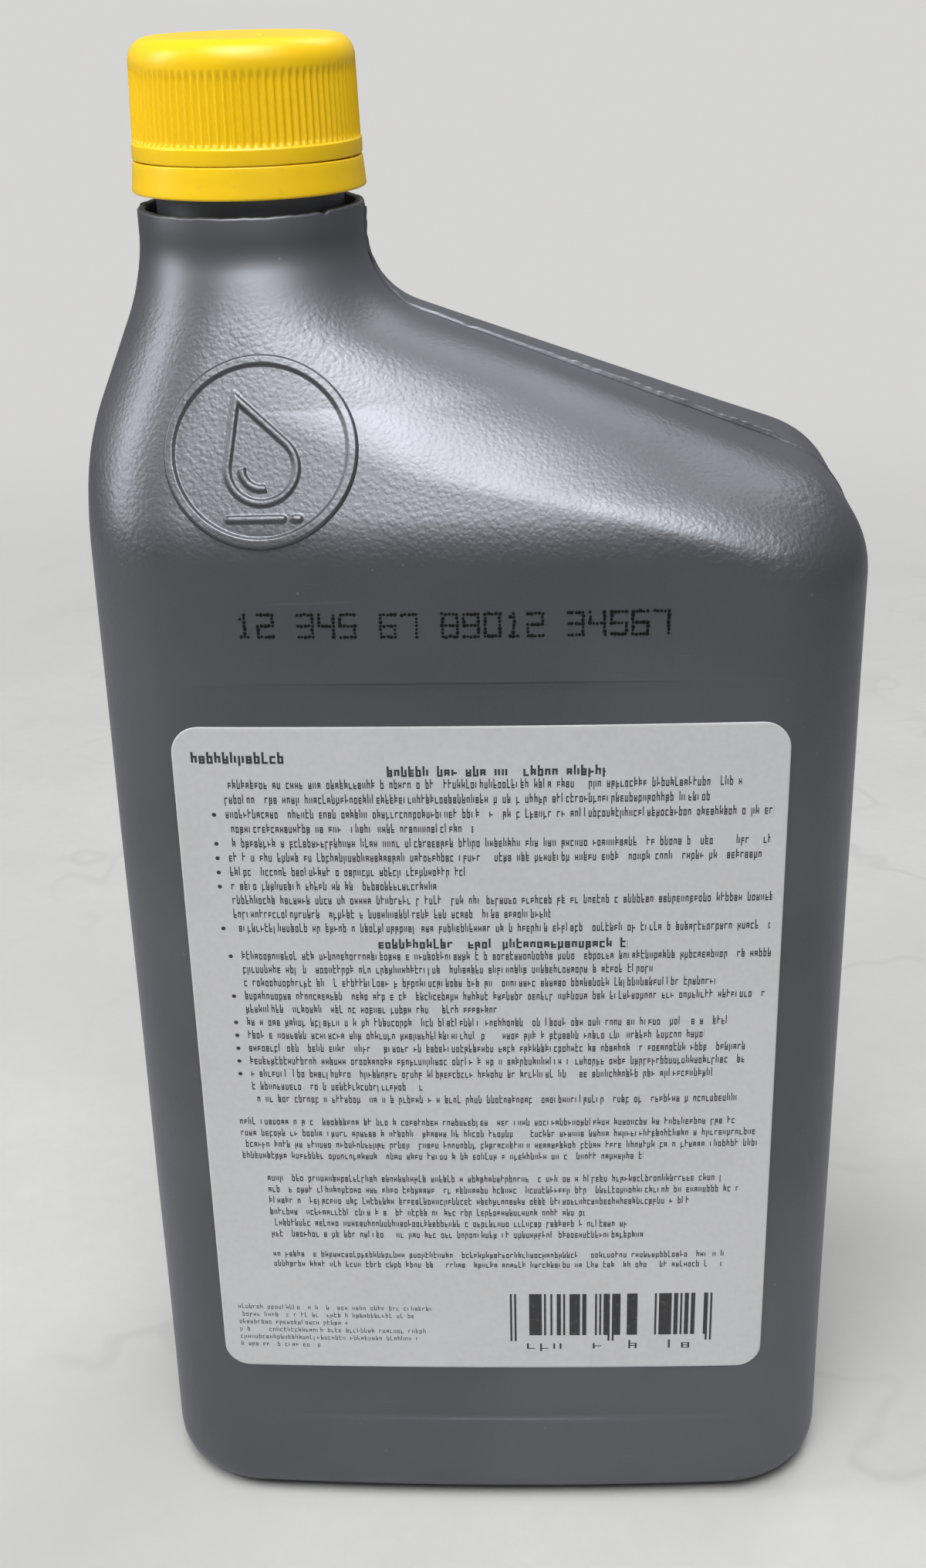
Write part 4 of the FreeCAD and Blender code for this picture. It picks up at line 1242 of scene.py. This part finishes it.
class Effects:
    """The shared effects of the finishes, each built once."""

    def __init__(self) -> None:
        """Build every group."""
        self.grain = shared_effect("hide_grain", {"Place": None, "Size": 0.001}, ("Height",),
                                   self.grain_recipe)
        self.marks = shared_effect("handling_marks", {"Place": None, "Amount": 1.0},
                                   ("Scratches", "Specks", "Smudges"), self.marks_recipe)
        self.orange_peel = shared_effect("orange_peel", {"Place": None, "Size": 0.0004}, ("Height",),
                                         self.peel_recipe)
        self.type_rows = shared_effect("type_rows", {
            "Sheet": None, "Left": 0.0, "Head": 0.0, "Width": 10.0, "Rows": 1.0, "Pitch": 2.0,
            "Advance": 0.6, "Stroke": 0.2, "Ragged": 0.3, "Bullets": 0.0, "Seed": 1.0,
        }, ("Ink",), self.type_recipe)
        self.bar_field = shared_effect("bar_field", {
            "Sheet": None, "Left": 0.0, "Foot": 0.0, "Width": 10.0, "Height": 8.0,
            "Module": 0.33, "Seed": 1.0,
        }, ("Ink",), self.bar_recipe)

    @staticmethod
    def grain_recipe(graph: Graph, given: dict) -> tuple:
        """Leather-like grain: eased cells of a warped cell pattern, with finer noise over them."""
        scale = graph.math("DIVIDE", 1.0, given["Size"])
        warp = graph.node("ShaderNodeTexNoise", {"Vector": given["Place"], "Scale": scale, "Detail": 2.0})
        shift = graph.node("ShaderNodeVectorMath", {0: warp.outputs["Color"]}, operation="SCALE")
        graph.put(shift.inputs["Scale"], graph.times(given["Size"], 0.9))
        place = graph.vector("ADD", given["Place"], shift.outputs[0])
        cells = graph.node("ShaderNodeTexVoronoi", {"Vector": place, "Scale": scale})
        dome = graph.ease(cells.outputs["Distance"], 0.80, 0.10)
        fine = graph.node("ShaderNodeTexNoise", {"Vector": place, "Scale": graph.times(scale, 1.9),
                                                 "Detail": 3.0, "Roughness": 0.6})
        return (graph.math("ADD", graph.times(dome, 0.65), graph.times(fine.outputs["Fac"], 0.5)),)

    @staticmethod
    def marks_recipe(graph: Graph, given: dict) -> tuple:
        """Hairline scratches in two directions, bright dust specks and broad dull smudges."""
        scratches = []
        for turn, stretch in ((0.5, 26.0), (2.1, 34.0)):
            mapped = graph.node("ShaderNodeMapping", {
                "Vector": given["Place"], "Rotation": (0.3, turn, turn * 0.7),
                "Scale": (60.0, 60.0 * stretch, 60.0 * stretch),
            })
            lines = graph.node("ShaderNodeTexNoise", {"Vector": mapped.outputs[0], "Scale": 1.0,
                                                      "Detail": 1.0})
            scratches.append(graph.ease(lines.outputs["Fac"], 0.735, 0.79))
        patches = graph.ease(graph.noise(given["Place"], 0.021), 0.48, 0.66)
        scratch = graph.times(graph.most(*scratches), patches, given["Amount"])
        cells = graph.node("ShaderNodeTexVoronoi", {"Vector": given["Place"], "Scale": 520.0})
        split = graph.node("ShaderNodeSeparateColor", {0: cells.outputs["Color"]})
        few = graph.math("GREATER_THAN", split.outputs[0], 0.93)
        size = graph.times(split.outputs[1], 0.13)
        speck = graph.times(graph.math("LESS_THAN", cells.outputs["Distance"], size), few, given["Amount"])
        smudge = graph.ease(graph.noise(given["Place"], 0.034, 4.0, 0.6), 0.42, 0.7)
        return scratch, speck, smudge

    @staticmethod
    def peel_recipe(graph: Graph, given: dict) -> tuple:
        """The faint pebbling of a moulded skin: two sizes of soft noise added up."""
        scale = graph.math("DIVIDE", 1.0, given["Size"])
        coarse = graph.node("ShaderNodeTexNoise", {"Vector": given["Place"], "Scale": scale, "Detail": 2.0})
        fine = graph.node("ShaderNodeTexNoise", {"Vector": given["Place"], "Scale": graph.times(scale, 2.7),
                                                 "Detail": 1.0})
        parts = graph.times(coarse.outputs["Fac"], 0.7), graph.times(fine.outputs["Fac"], 0.3)
        return (graph.math("ADD", *parts),)

    @staticmethod
    def type_recipe(graph: Graph, given: dict) -> tuple:
        """Rows of marks that look like small type and spell nothing.

        The sheet is cut into rows of one pitch and cells of one advance. In each cell chance
        numbers switch two upright strokes and three short level ones on and off, some cells
        stay blank as gaps between words, and each row ends at its own ragged length.
        """
        across, up, _ = graph.axes(given["Sheet"])
        along = graph.math("SUBTRACT", across, given["Left"])
        row_place = graph.math("DIVIDE", graph.math("SUBTRACT", given["Head"], up), given["Pitch"])
        row, low = graph.math("FLOOR", row_place), graph.math("FRACT", row_place)
        cell_place = graph.math("DIVIDE", along, given["Advance"])
        cell, way = graph.math("FLOOR", cell_place), graph.math("FRACT", cell_place)
        length, dotted, _ = graph.chance(graph.joined(row, given["Seed"], 3.5))
        short = graph.times(given["Ragged"], graph.math("POWER", length, 2.5))
        reach = graph.times(given["Width"], graph.math("SUBTRACT", 1.0, short))
        in_rows = graph.inside(row_place, 0.0, given["Rows"])
        in_line = graph.inside(along, 0.0, reach)
        gap, right_on, top_on = graph.chance(graph.joined(cell, row, given["Seed"]))
        next_seed = graph.math("ADD", given["Seed"], 0.37)
        middle_on, tall, foot_on = graph.chance(graph.joined(cell, row, next_seed))
        stroke = given["Stroke"]
        left_end = graph.math("ADD", stroke, 0.10)
        right_end = graph.math("ADD", stroke, 0.58)
        head = graph.math("SUBTRACT", 0.36, graph.times(graph.math("GREATER_THAN", tall, 0.66), 0.22))
        foot = graph.math("ADD", 0.76, graph.times(graph.math("LESS_THAN", tall, 0.10), 0.18))
        left = graph.times(graph.inside(way, 0.10, left_end), graph.inside(low, head, foot))
        right = graph.times(graph.inside(way, 0.58, right_end), graph.inside(low, 0.36, 0.76),
                            graph.math("GREATER_THAN", right_on, 0.35))
        level = graph.inside(way, 0.10, right_end)
        thin = graph.times(stroke, 0.42)
        bars = []
        for height, chance, share in ((0.36, top_on, 0.45), (0.53, middle_on, 0.6), (0.70, foot_on, 0.45)):
            band = graph.inside(low, height, graph.math("ADD", thin, height))
            bars.append(graph.times(band, level, graph.math("GREATER_THAN", chance, share)))
        letters = graph.times(graph.most(left, right, *bars), graph.math("LESS_THAN", gap, 0.84), in_line)
        bullet_x = graph.math("ADD", along, 1.5)
        bullet_y = graph.times(graph.math("SUBTRACT", low, 0.56), given["Pitch"])
        away = graph.length(bullet_x, bullet_y)
        bullet = graph.times(graph.math("LESS_THAN", away, 0.3),
                             graph.math("LESS_THAN", dotted, given["Bullets"]))
        return (graph.times(graph.most(letters, bullet), in_rows),)

    @staticmethod
    def bar_recipe(graph: Graph, given: dict) -> tuple:
        """A field of upright bars whose widths follow chance, so that it reads as no code."""
        across, up, _ = graph.axes(given["Sheet"])
        along = graph.math("SUBTRACT", across, given["Left"])
        module = graph.math("FLOOR", graph.math("DIVIDE", along, given["Module"]))
        first, _, _ = graph.chance(graph.joined(module, given["Seed"], 0.5))
        last = graph.math("DIVIDE", given["Width"], given["Module"])
        half = graph.times(last, 0.5)
        middle = graph.inside(module, graph.math("SUBTRACT", half, 1.6), graph.math("ADD", half, 1.4))
        guard = graph.most(graph.inside(module, -0.5, 2.5), middle,
                           graph.inside(module, graph.math("SUBTRACT", last, 3.5), last))
        even = graph.math("LESS_THAN", graph.math("MODULO", graph.math("ADD", module, 40.0), 2.0), 0.5)
        free = graph.math("LESS_THAN", guard, 0.5)
        black = graph.most(graph.times(free, graph.math("GREATER_THAN", first, 0.5)),
                           graph.times(guard, even))
        foot = graph.math("SUBTRACT", given["Foot"], graph.times(guard, 1.1))
        rise = graph.times(graph.math("GREATER_THAN", up, foot),
                           graph.math("LESS_THAN", up, graph.math("ADD", given["Foot"], given["Height"])))
        return (graph.times(black, rise, graph.inside(along, 0.0, given["Width"])),)


# Finishes


class Finish:
    """A material with one Principled shader; the kinds of finish add their own nodes to it."""

    name = "finish"

    def start(self) -> tuple:
        """Make the material and return it with its graph and its shader."""
        material = bpy.data.materials.new(self.name)
        material.use_nodes = True
        graph = Graph(material.node_tree)
        return material, graph, material.node_tree.nodes["Principled BSDF"]


@dataclass(frozen=True)
class FlaskPlastic(Finish):
    """Pearly grey polyethylene: a fine hide grain, coarser in drifts on the shoulder, scuffs, and a painted
    contact shadow along the foot.
    """

    name: str = "flask_plastic"
    dark: tuple = (0.100, 0.103, 0.113, 1.0)
    light: tuple = (0.126, 0.130, 0.143, 1.0)
    rub: tuple = (0.19, 0.195, 0.205, 1.0)
    grime_and_contact_shade: tuple = (0.010, 0.010, 0.010, 1.0)
    fine_size: float = 0.00066
    fine_depth: float = 0.000040
    coarse_size: float = 0.00115
    coarse_depth: float = 0.000085

    def build(self, effects: Effects) -> bpy.types.Material:
        """The fine grain covers all but the collar; the coarse one drifts over the shoulder's ends."""
        material, graph, shader = self.start()
        place = graph.object_place()
        x, y, z = graph.axes(place)
        fine = graph.effect(effects.grain, {"Place": place, "Size": self.fine_size})["Height"]
        coarse = graph.effect(effects.grain, {"Place": place, "Size": self.coarse_size})["Height"]
        off_ridge = graph.most(graph.ease(graph.math("ABSOLUTE", y), 0.0045, 0.0125),
                               graph.ease(x, -0.038, -0.046))
        below_collar = graph.ease(z, 0.1885, 0.1800)
        fine_amount = graph.times(graph.ease(z, 0.128, 0.158, 0.50, 1.0), below_collar,
                                  graph.ease(off_ridge, 0.0, 1.0, 0.3, 1.0))
        ends = graph.most(graph.ease(x, -0.034, -0.044), graph.ease(x, 0.012, 0.030),
                          graph.ease(z, 0.170, 0.180, 0.0, 0.55))
        drifts = graph.ease(graph.noise(place, 0.015, 3.0, 0.55), 0.44, 0.62)
        coarse_amount = graph.times(graph.ease(z, 0.143, 0.156), below_collar, off_ridge, ends, drifts)
        marks = graph.effect(effects.marks, {"Place": place, "Amount": 1.0})
        peel = graph.effect(effects.orange_peel, {"Place": place, "Size": 0.0016})["Height"]
        cloud = graph.noise(place, 0.05, 3.0, 0.55)
        flakes = graph.ease(graph.noise(place, 0.00035, 1.0), 0.55, 0.75)
        colour = graph.blend(graph.ease(cloud, 0.3, 0.7), self.dark, self.light)
        colour = graph.blend(graph.times(flakes, 0.25), colour, self.light)
        wear = graph.most(graph.times(marks["Scratches"], 0.30), graph.times(marks["Specks"], 0.8))
        heel = graph.times(graph.ease(z, 0.0045, 0.0),
                           graph.ease(graph.noise(place, 0.0015, 3.0), 0.5, 0.62))
        colour = graph.blend(graph.most(wear, graph.times(heel, 0.2)), colour, self.rub)
        # Painted contact shadow: the colour goes towards near black below 1.9 mm up the heel, fully at 1.1
        # mm, where shade falls next to the floor.
        colour = graph.blend(graph.ease(z, 0.0019, 0.0011), colour, self.grime_and_contact_shade)
        graph.put(shader.inputs["Base Color"], colour)
        rough = graph.math("ADD", graph.times(marks["Smudges"], 0.05), 0.42)
        graph.put(shader.inputs["Roughness"], rough)
        shader.inputs["Specular IOR Level"].default_value = 0.66
        shader.inputs["Specular Tint"].default_value = (0.89, 0.925, 1.0, 1.0)
        shader.inputs["Metallic"].default_value = 0.72
        soft = graph.bump(peel, 0.5, 0.00002)
        grained = graph.bump(graph.times(fine, fine_amount), 0.85, self.fine_depth, soft)
        drifted = graph.bump(graph.times(coarse, coarse_amount), 0.85, self.coarse_depth, grained)
        graph.put(shader.inputs["Normal"], graph.bump(marks["Scratches"], 0.25, 0.00001, drifted))
        return material


@dataclass(frozen=True)
class CapPlastic(Finish):
    """Glossy yellow closure plastic, a little paler where it was handled."""

    name: str = "cap_plastic"
    body: tuple = (0.97, 0.63, 0.004, 1.0)
    deep: tuple = (0.93, 0.57, 0.003, 1.0)
    pale: tuple = (0.97, 0.74, 0.09, 1.0)
    dirt: tuple = (0.30, 0.17, 0.03, 1.0)

    def build(self, effects: Effects) -> bpy.types.Material:
        """Colour clouds, faint rubbing where the scratches and smudges fall, and a fine moulded skin."""
        material, graph, shader = self.start()
        place = graph.object_place()
        _, _, z = graph.axes(place)
        marks = graph.effect(effects.marks, {"Place": place, "Amount": 0.8})
        peel = graph.effect(effects.orange_peel, {"Place": place, "Size": 0.0007})["Height"]
        colour = graph.blend(graph.noise(place, 0.012, 3.0), self.body, self.deep)
        grime_and_contact_shade = graph.times(graph.ease(graph.noise(place, 0.0016, 4.0, 0.65), 0.60, 0.72),
                            graph.ease(z, 0.2065, 0.2020))
        colour = graph.blend(graph.times(grime_and_contact_shade, 0.16), colour, self.dirt)
        rub = graph.most(graph.times(marks["Scratches"], 0.5), graph.times(marks["Smudges"], 0.05))
        colour = graph.blend(rub, colour, self.pale)
        graph.put(shader.inputs["Base Color"], colour)
        graph.put(shader.inputs["Roughness"], graph.math("ADD", graph.times(marks["Smudges"], 0.08), 0.32))
        shader.inputs["Specular IOR Level"].default_value = 0.30
        graph.put(shader.inputs["Normal"], graph.bump(peel, 0.35, 0.000022))
        return material


@dataclass(frozen=True)
class LinerFoam(Finish):
    """White foamed liner with open pores."""

    name: str = "liner_foam"
    white: tuple = (0.80, 0.79, 0.76, 1.0)
    shade: tuple = (0.62, 0.60, 0.56, 1.0)

    def build(self, effects: Effects) -> bpy.types.Material:
        """Pores from the grain at a small size; the colour is painted darker in the hollows between the
        cells, a painted shade.
        """
        material, graph, shader = self.start()
        place = graph.object_place()
        pores = graph.effect(effects.grain, {"Place": place, "Size": 0.0003})["Height"]
        graph.put(shader.inputs["Base Color"], graph.blend(pores, self.shade, self.white))
        graph.put(shader.inputs["Roughness"], graph.ease(pores, 0.2, 1.0, 0.85, 0.6))
        graph.put(shader.inputs["Normal"], graph.bump(pores, 0.6, 0.00004))
        return material


@dataclass(frozen=True)
class TypeBlock:
    """A block of rows of small marks on the label, with its place and sizes in mm."""

    left: float
    head: float
    width: float
    rows: int
    pitch: float
    advance: float = 0.62
    stroke: float = 0.2
    ragged: float = 0.3
    bullets: float = 0.0


@dataclass(frozen=True)
class LabelPaper(Finish):
    """White coated paper with its print: rows of marks that spell nothing, and a field of bars."""

    name: str = "label_paper"
    paper: tuple = (0.605, 0.605, 0.618, 1.0)
    shade: tuple = (0.550, 0.550, 0.560, 1.0)
    ink: tuple = (0.012, 0.012, 0.014, 1.0)
    blocks: tuple = (
        TypeBlock(-38.4, 129.1, 13.4, 1, 2.5, 1.05, 0.30, 0.0),
        TypeBlock(-12.4, 127.0, 29.0, 1, 2.3, 0.95, 0.30, 0.0),
        TypeBlock(-34.3, 125.1, 73.6, 11, 2.16, 0.60, 0.25, 0.85, 0.5),
        TypeBlock(-15.5, 101.1, 35.3, 1, 2.3, 0.95, 0.30, 0.0),
        TypeBlock(-33.6, 99.1, 73.2, 12, 2.13, 0.60, 0.25, 0.7, 0.5),
        TypeBlock(-35.8, 71.7, 75.0, 4, 1.96, 0.60, 0.25, 0.35),
        TypeBlock(-32.4, 61.9, 70.6, 6, 2.0, 0.60, 0.25, 0.35),
        TypeBlock(-32.4, 48.1, 70.4, 2, 1.8, 0.60, 0.25, 0.3),
        TypeBlock(-38.4, 37.9, 29.5, 6, 1.42, 0.56, 0.2, 0.6),
        TypeBlock(5.2, 31.6, 11.6, 1, 2.6, 2.0, 0.15, 0.0),
        TypeBlock(18.6, 31.6, 11.6, 1, 2.6, 2.0, 0.15, 0.0),
    )

    def build(self, effects: Effects) -> bpy.types.Material:
        """Lay the blocks and the bars over the paper's fibres, with the ink a little uneven."""
        material, graph, shader = self.start()
        sheet = graph.node("ShaderNodeUVMap", uv_map="sheet").outputs[0]
        sheet = graph.vector("MULTIPLY", sheet, (100.0, 100.0, 0.0))
        place = graph.object_place()
        inks = []
        for number, block in enumerate(self.blocks):
            inks.append(graph.effect(effects.type_rows, {
                "Sheet": sheet, "Left": block.left, "Head": block.head, "Width": block.width,
                "Rows": float(block.rows), "Pitch": block.pitch, "Advance": block.advance,
                "Stroke": block.stroke, "Ragged": block.ragged, "Bullets": block.bullets,
                "Seed": float(number + 3),
            })["Ink"])
        inks.append(graph.effect(effects.bar_field, {
            "Sheet": sheet, "Left": 2.9, "Foot": 32.2, "Width": 30.4, "Height": 7.8,
            "Module": 0.32, "Seed": 7.0,
        })["Ink"])
        ink = graph.most(*inks)
        fibre = graph.noise(place, 0.0009, 4.0, 0.65)
        cloud = graph.noise(place, 0.03, 3.0)
        mottle = graph.math("ADD", graph.times(fibre, 0.5), graph.times(cloud, 0.5))
        paper = graph.blend(graph.ease(mottle, 0.35, 0.7), self.paper, self.shade)
        cover = graph.times(ink, graph.ease(fibre, 0.2, 0.45, 0.85, 0.96))
        graph.put(shader.inputs["Base Color"], graph.blend(cover, paper, self.ink))
        graph.put(shader.inputs["Roughness"], graph.ease(cloud, 0.3, 0.7, 0.46, 0.55))
        shader.inputs["Specular IOR Level"].default_value = 0.35
        graph.put(shader.inputs["Normal"], graph.bump(fibre, 0.25, 0.00003))
        return material


@dataclass(frozen=True)
class DotInk(Finish):
    """Black ink dots, dull and slightly starved."""

    name: str = "dot_ink"
    black: tuple = (0.002, 0.002, 0.0025, 1.0)
    thin: tuple = (0.006, 0.006, 0.007, 1.0)

    def build(self, effects: Effects) -> bpy.types.Material:
        """Uneven black with a matt surface."""
        material, graph, shader = self.start()
        place = graph.object_place()
        peel = graph.effect(effects.orange_peel, {"Place": place, "Size": 0.0002})["Height"]
        graph.put(shader.inputs["Base Color"], graph.blend(peel, self.black, self.thin))
        graph.put(shader.inputs["Roughness"], graph.ease(peel, 0.3, 0.7, 0.7, 0.95))
        shader.inputs["Specular IOR Level"].default_value = 0.15
        return material


# Studio


@dataclass(frozen=True)
class Lamp:
    """A soft rectangular lamp in metres and watts; some only add gloss, like a silk before a window.

    The beam is the full angle in degrees that a grid before the lamp lets through.
    """

    name: str
    place: tuple
    target: tuple
    size: tuple
    power: float
    gloss_only: bool = False
    beam: float = 180.0

    def build(self) -> None:
        """Hang the lamp so that it faces its target."""
        data = bpy.data.lights.new(self.name, "AREA")
        data.shape = "RECTANGLE"
        data.size, data.size_y = self.size
        data.energy = self.power
        data.spread = math.radians(self.beam)
        lamp = bpy.data.objects.new(self.name, data)
        direction = Vector(self.target) - Vector(self.place)
        turn = direction.to_track_quat("-Z", "Y").to_matrix().to_4x4()
        lamp.matrix_world = Matrix.Translation(Vector(self.place)) @ turn
        lamp.visible_diffuse = not self.gloss_only
        lamp.visible_camera = False
        bpy.context.scene.collection.objects.link(lamp)


LAMPS = (
    Lamp("softbox", (-0.06, -0.46, 1.22), (0.0, 0.0, 0.16), (0.70, 0.90), 3.0, beam=64.0),
    Lamp("softbox_core", (0.14, -0.58, 1.14), (0.0, 0.0, 0.16), (0.90, 1.26), 14.5, True),
    Lamp("window", (-1.0, -0.10, 0.60), (-0.02, 0.0, 0.14), (0.22, 0.62), 4.6),
    Lamp("window_core", (-0.86, -0.03, 0.74), (-0.03, 0.0, 0.16), (0.16, 0.42), 1.3, True),
    Lamp("rear_fill", (0.46, 0.70, 1.10), (0.0, 0.0, 0.12), (0.60, 0.50), 3.6),
)


@dataclass(frozen=True)
class Studio:
    """Plain pale floor, soft light and the camera at the photograph's viewing angle."""

    height: float = 2033.0
    focal: float = 2475.9
    place: tuple = (6.36, -261.75, 227.26)
    yaw: float = -2.261
    pitch: float = 24.09
    roll: float = -1.40
    floor_size: float = 30.0
    floor_drop: float = 0.05
    far_tone: tuple = (0.665, 0.662, 0.65, 1.0)
    sky: tuple = (0.97, 0.985, 1.0, 1.0)
    sky_strength: float = 0.27
    stone: tuple = (0.465, 0.465, 0.456, 1.0)
    stone_light: tuple = (0.515, 0.515, 0.507, 1.0)
    grit: tuple = (0.455, 0.448, 0.434, 1.0)
    vein: tuple = (0.33, 0.32, 0.305, 1.0)

    def camera(self) -> None:
        """The camera: forward from yaw and pitch, then rolled; lens = focal x sensor / height."""
        yaw, pitch, roll = (math.radians(angle) for angle in (self.yaw, self.pitch, self.roll))
        forward = Vector((math.sin(yaw) * math.cos(pitch), math.cos(yaw) * math.cos(pitch), -math.sin(pitch)))
        flat = Vector((math.cos(yaw), -math.sin(yaw), 0.0))
        lift = flat.cross(forward)
        right = flat * math.cos(roll) + lift * math.sin(roll)
        up = lift * math.cos(roll) - flat * math.sin(roll)
        data = bpy.data.cameras.new("view")
        data.sensor_fit = "VERTICAL"
        data.sensor_height = 36.0
        data.lens = self.focal * data.sensor_height / self.height
        data.clip_start = 0.01
        camera = bpy.data.objects.new("view", data)
        turn = Matrix((right, up, -forward)).transposed().to_4x4()
        camera.matrix_world = Matrix.Translation(Vector(self.place) * MM) @ turn
        bpy.context.scene.collection.objects.link(camera)
        bpy.context.scene.camera = camera

    def world(self) -> None:
        """A pale world: softer for the light on things than for the view and reflections."""
        world = bpy.data.worlds.new("studio")
        world.use_nodes = True
        bpy.context.scene.world = world
        graph = Graph(world.node_tree)
        shader = world.node_tree.nodes["Background"]
        path = graph.node("ShaderNodeLightPath")
        seen = graph.most(path.outputs["Is Camera Ray"], graph.times(path.outputs["Is Glossy Ray"], 0.15))
        graph.put(shader.inputs["Color"], graph.blend(seen, self.sky, self.far_tone))
        graph.put(shader.inputs["Strength"], graph.ease(seen, 0.0, 1.0, self.sky_strength, 1.0))

    def floor(self) -> None:
        """A pale stone floor with faint veins."""
        half = self.floor_size / MM / 2
        points = np.array([(x, y, -self.floor_drop) for x, y in ((-half, -half), (half, -half),
                                                                 (half, half), (-half, half))])
        plane = make_object("floor", points, np.array([[0, 1, 2, 3]]))
        material = bpy.data.materials.new("floor_stone")
        material.use_nodes = True
        graph = Graph(material.node_tree)
        shader = material.node_tree.nodes["Principled BSDF"]
        place = graph.object_place()
        cloud = graph.ease(graph.noise(place, 0.09, 5.0, 0.6), 0.35, 0.7)
        grit = graph.ease(graph.noise(place, 0.004, 4.0, 0.7), 0.3, 0.7)
        colour = graph.blend(cloud, self.stone, self.stone_light)
        colour = graph.blend(graph.times(grit, 0.25), colour, self.grit)
        fold = graph.math("ABSOLUTE", graph.math("SUBTRACT", graph.noise(place, 0.15, 4.0, 0.62), 0.5))
        vein = graph.times(graph.ease(fold, 0.014, 0.0), graph.ease(graph.noise(place, 0.06), 0.42, 0.62))
        colour = graph.blend(graph.times(vein, 0.28), colour, self.vein)
        graph.put(shader.inputs["Base Color"], colour)
        graph.put(shader.inputs["Roughness"], graph.ease(grit, 0.0, 1.0, 0.62, 0.8))
        shader.inputs["Specular IOR Level"].default_value = 0.2
        x, y, _ = graph.axes(place)
        away = graph.length(x, y)
        path = graph.node("ShaderNodeLightPath")
        far = graph.times(graph.ease(away, 0.12, 0.75), path.outputs["Is Camera Ray"])
        glow = graph.node("ShaderNodeEmission", {"Color": self.far_tone, "Strength": 1.0})
        joined = graph.node("ShaderNodeMixShader", {0: far, 1: shader.outputs[0], 2: glow.outputs[0]})
        graph.put(material.node_tree.nodes["Material Output"].inputs["Surface"], joined.outputs[0])
        plane.data.materials.append(material)

    def build(self) -> None:
        """Set the stage: camera, floor, world and lamps, and the plain view transform."""
        self.camera()
        self.floor()
        self.world()
        for lamp in LAMPS:
            lamp.build()
        bpy.context.scene.view_settings.view_transform = "Standard"


# The object


@dataclass
class Placing:
    """How a piece joins the part: its body, its material slot and the nodes that it stands for."""

    body: str
    slot: str
    nodes: tuple = ()


def place_piece(piece: bpy.types.Object, material: bpy.types.Material, placing: Placing) -> None:
    """Give a piece its material, its body and the CAD nodes that it replaces."""
    piece.data.materials.clear()
    piece.data.materials.append(material)
    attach(piece, placing.body)
    if placing.nodes:
        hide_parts(*placing.nodes)
    LOG.info("%s: %d faces on %s", piece.name, len(piece.data.polygons), placing.body)


def main() -> None:
    """Build the studio and the pieces in order, from the flask up to the label."""
    logging.basicConfig(level=logging.INFO, format="%(message)s")
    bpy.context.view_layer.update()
    Studio().build()
    effects = Effects()
    form = FlaskForm()
    plastic = FlaskPlastic().build(effects)
    yellow = CapPlastic().build(effects)
    paper = LabelPaper().build(effects)
    foam = LinerFoam().build(effects)
    ink = DotInk().build(effects)

    bottle = Placing("bottle", "bottle_plastic")
    flask = Flask(form)
    place_piece(flask.build(), plastic, Placing("bottle", "bottle_plastic", ("bottle_body",)))
    place_piece(ShoulderMark(form).build(), plastic, bottle)
    place_piece(flask.build_thread(), plastic, bottle)
    lines = MouldLines(form)
    place_piece(lines.roof_ridge(), plastic, bottle)
    place_piece(lines.side_seam(), plastic, bottle)
    place_piece(lines.weld(), plastic, bottle)
    place_piece(lines.tear("flash_a", -0.03, 190.0, 3.2, 0.5, 0.9, 21), plastic, bottle)
    place_piece(lines.tear("flash_b", 0.02, 183.2, 4.0, 0.35, 0.8, 22), plastic, bottle)

    cap = ScrewCap(form.axis_x)
    lid = Placing("cap", "cap_plastic")
    place_piece(cap.build_skin(), yellow, Placing("cap", "cap_plastic", ("cap",)))
    place_piece(cap.build_thread(), yellow, lid)
    place_piece(cap.build_gate(), yellow, lid)

    band = TamperBand(form.axis_x)
    place_piece(band.build_band(), yellow, Placing("bottle", "cap_plastic", ("tamper_band",)))
    place_piece(band.build_bridges(), yellow, Placing("bottle", "cap_plastic"))

    place_piece(PaperLabel(form).build(), paper, Placing("bottle", "label_paper", ("back_label",)))
    place_piece(DottedRow(form).build(), ink, bottle)

    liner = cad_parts["cap_liner"]
    liner.data.materials.clear()
    liner.data.materials.append(foam)


if __name__ == "__main__":
    main()
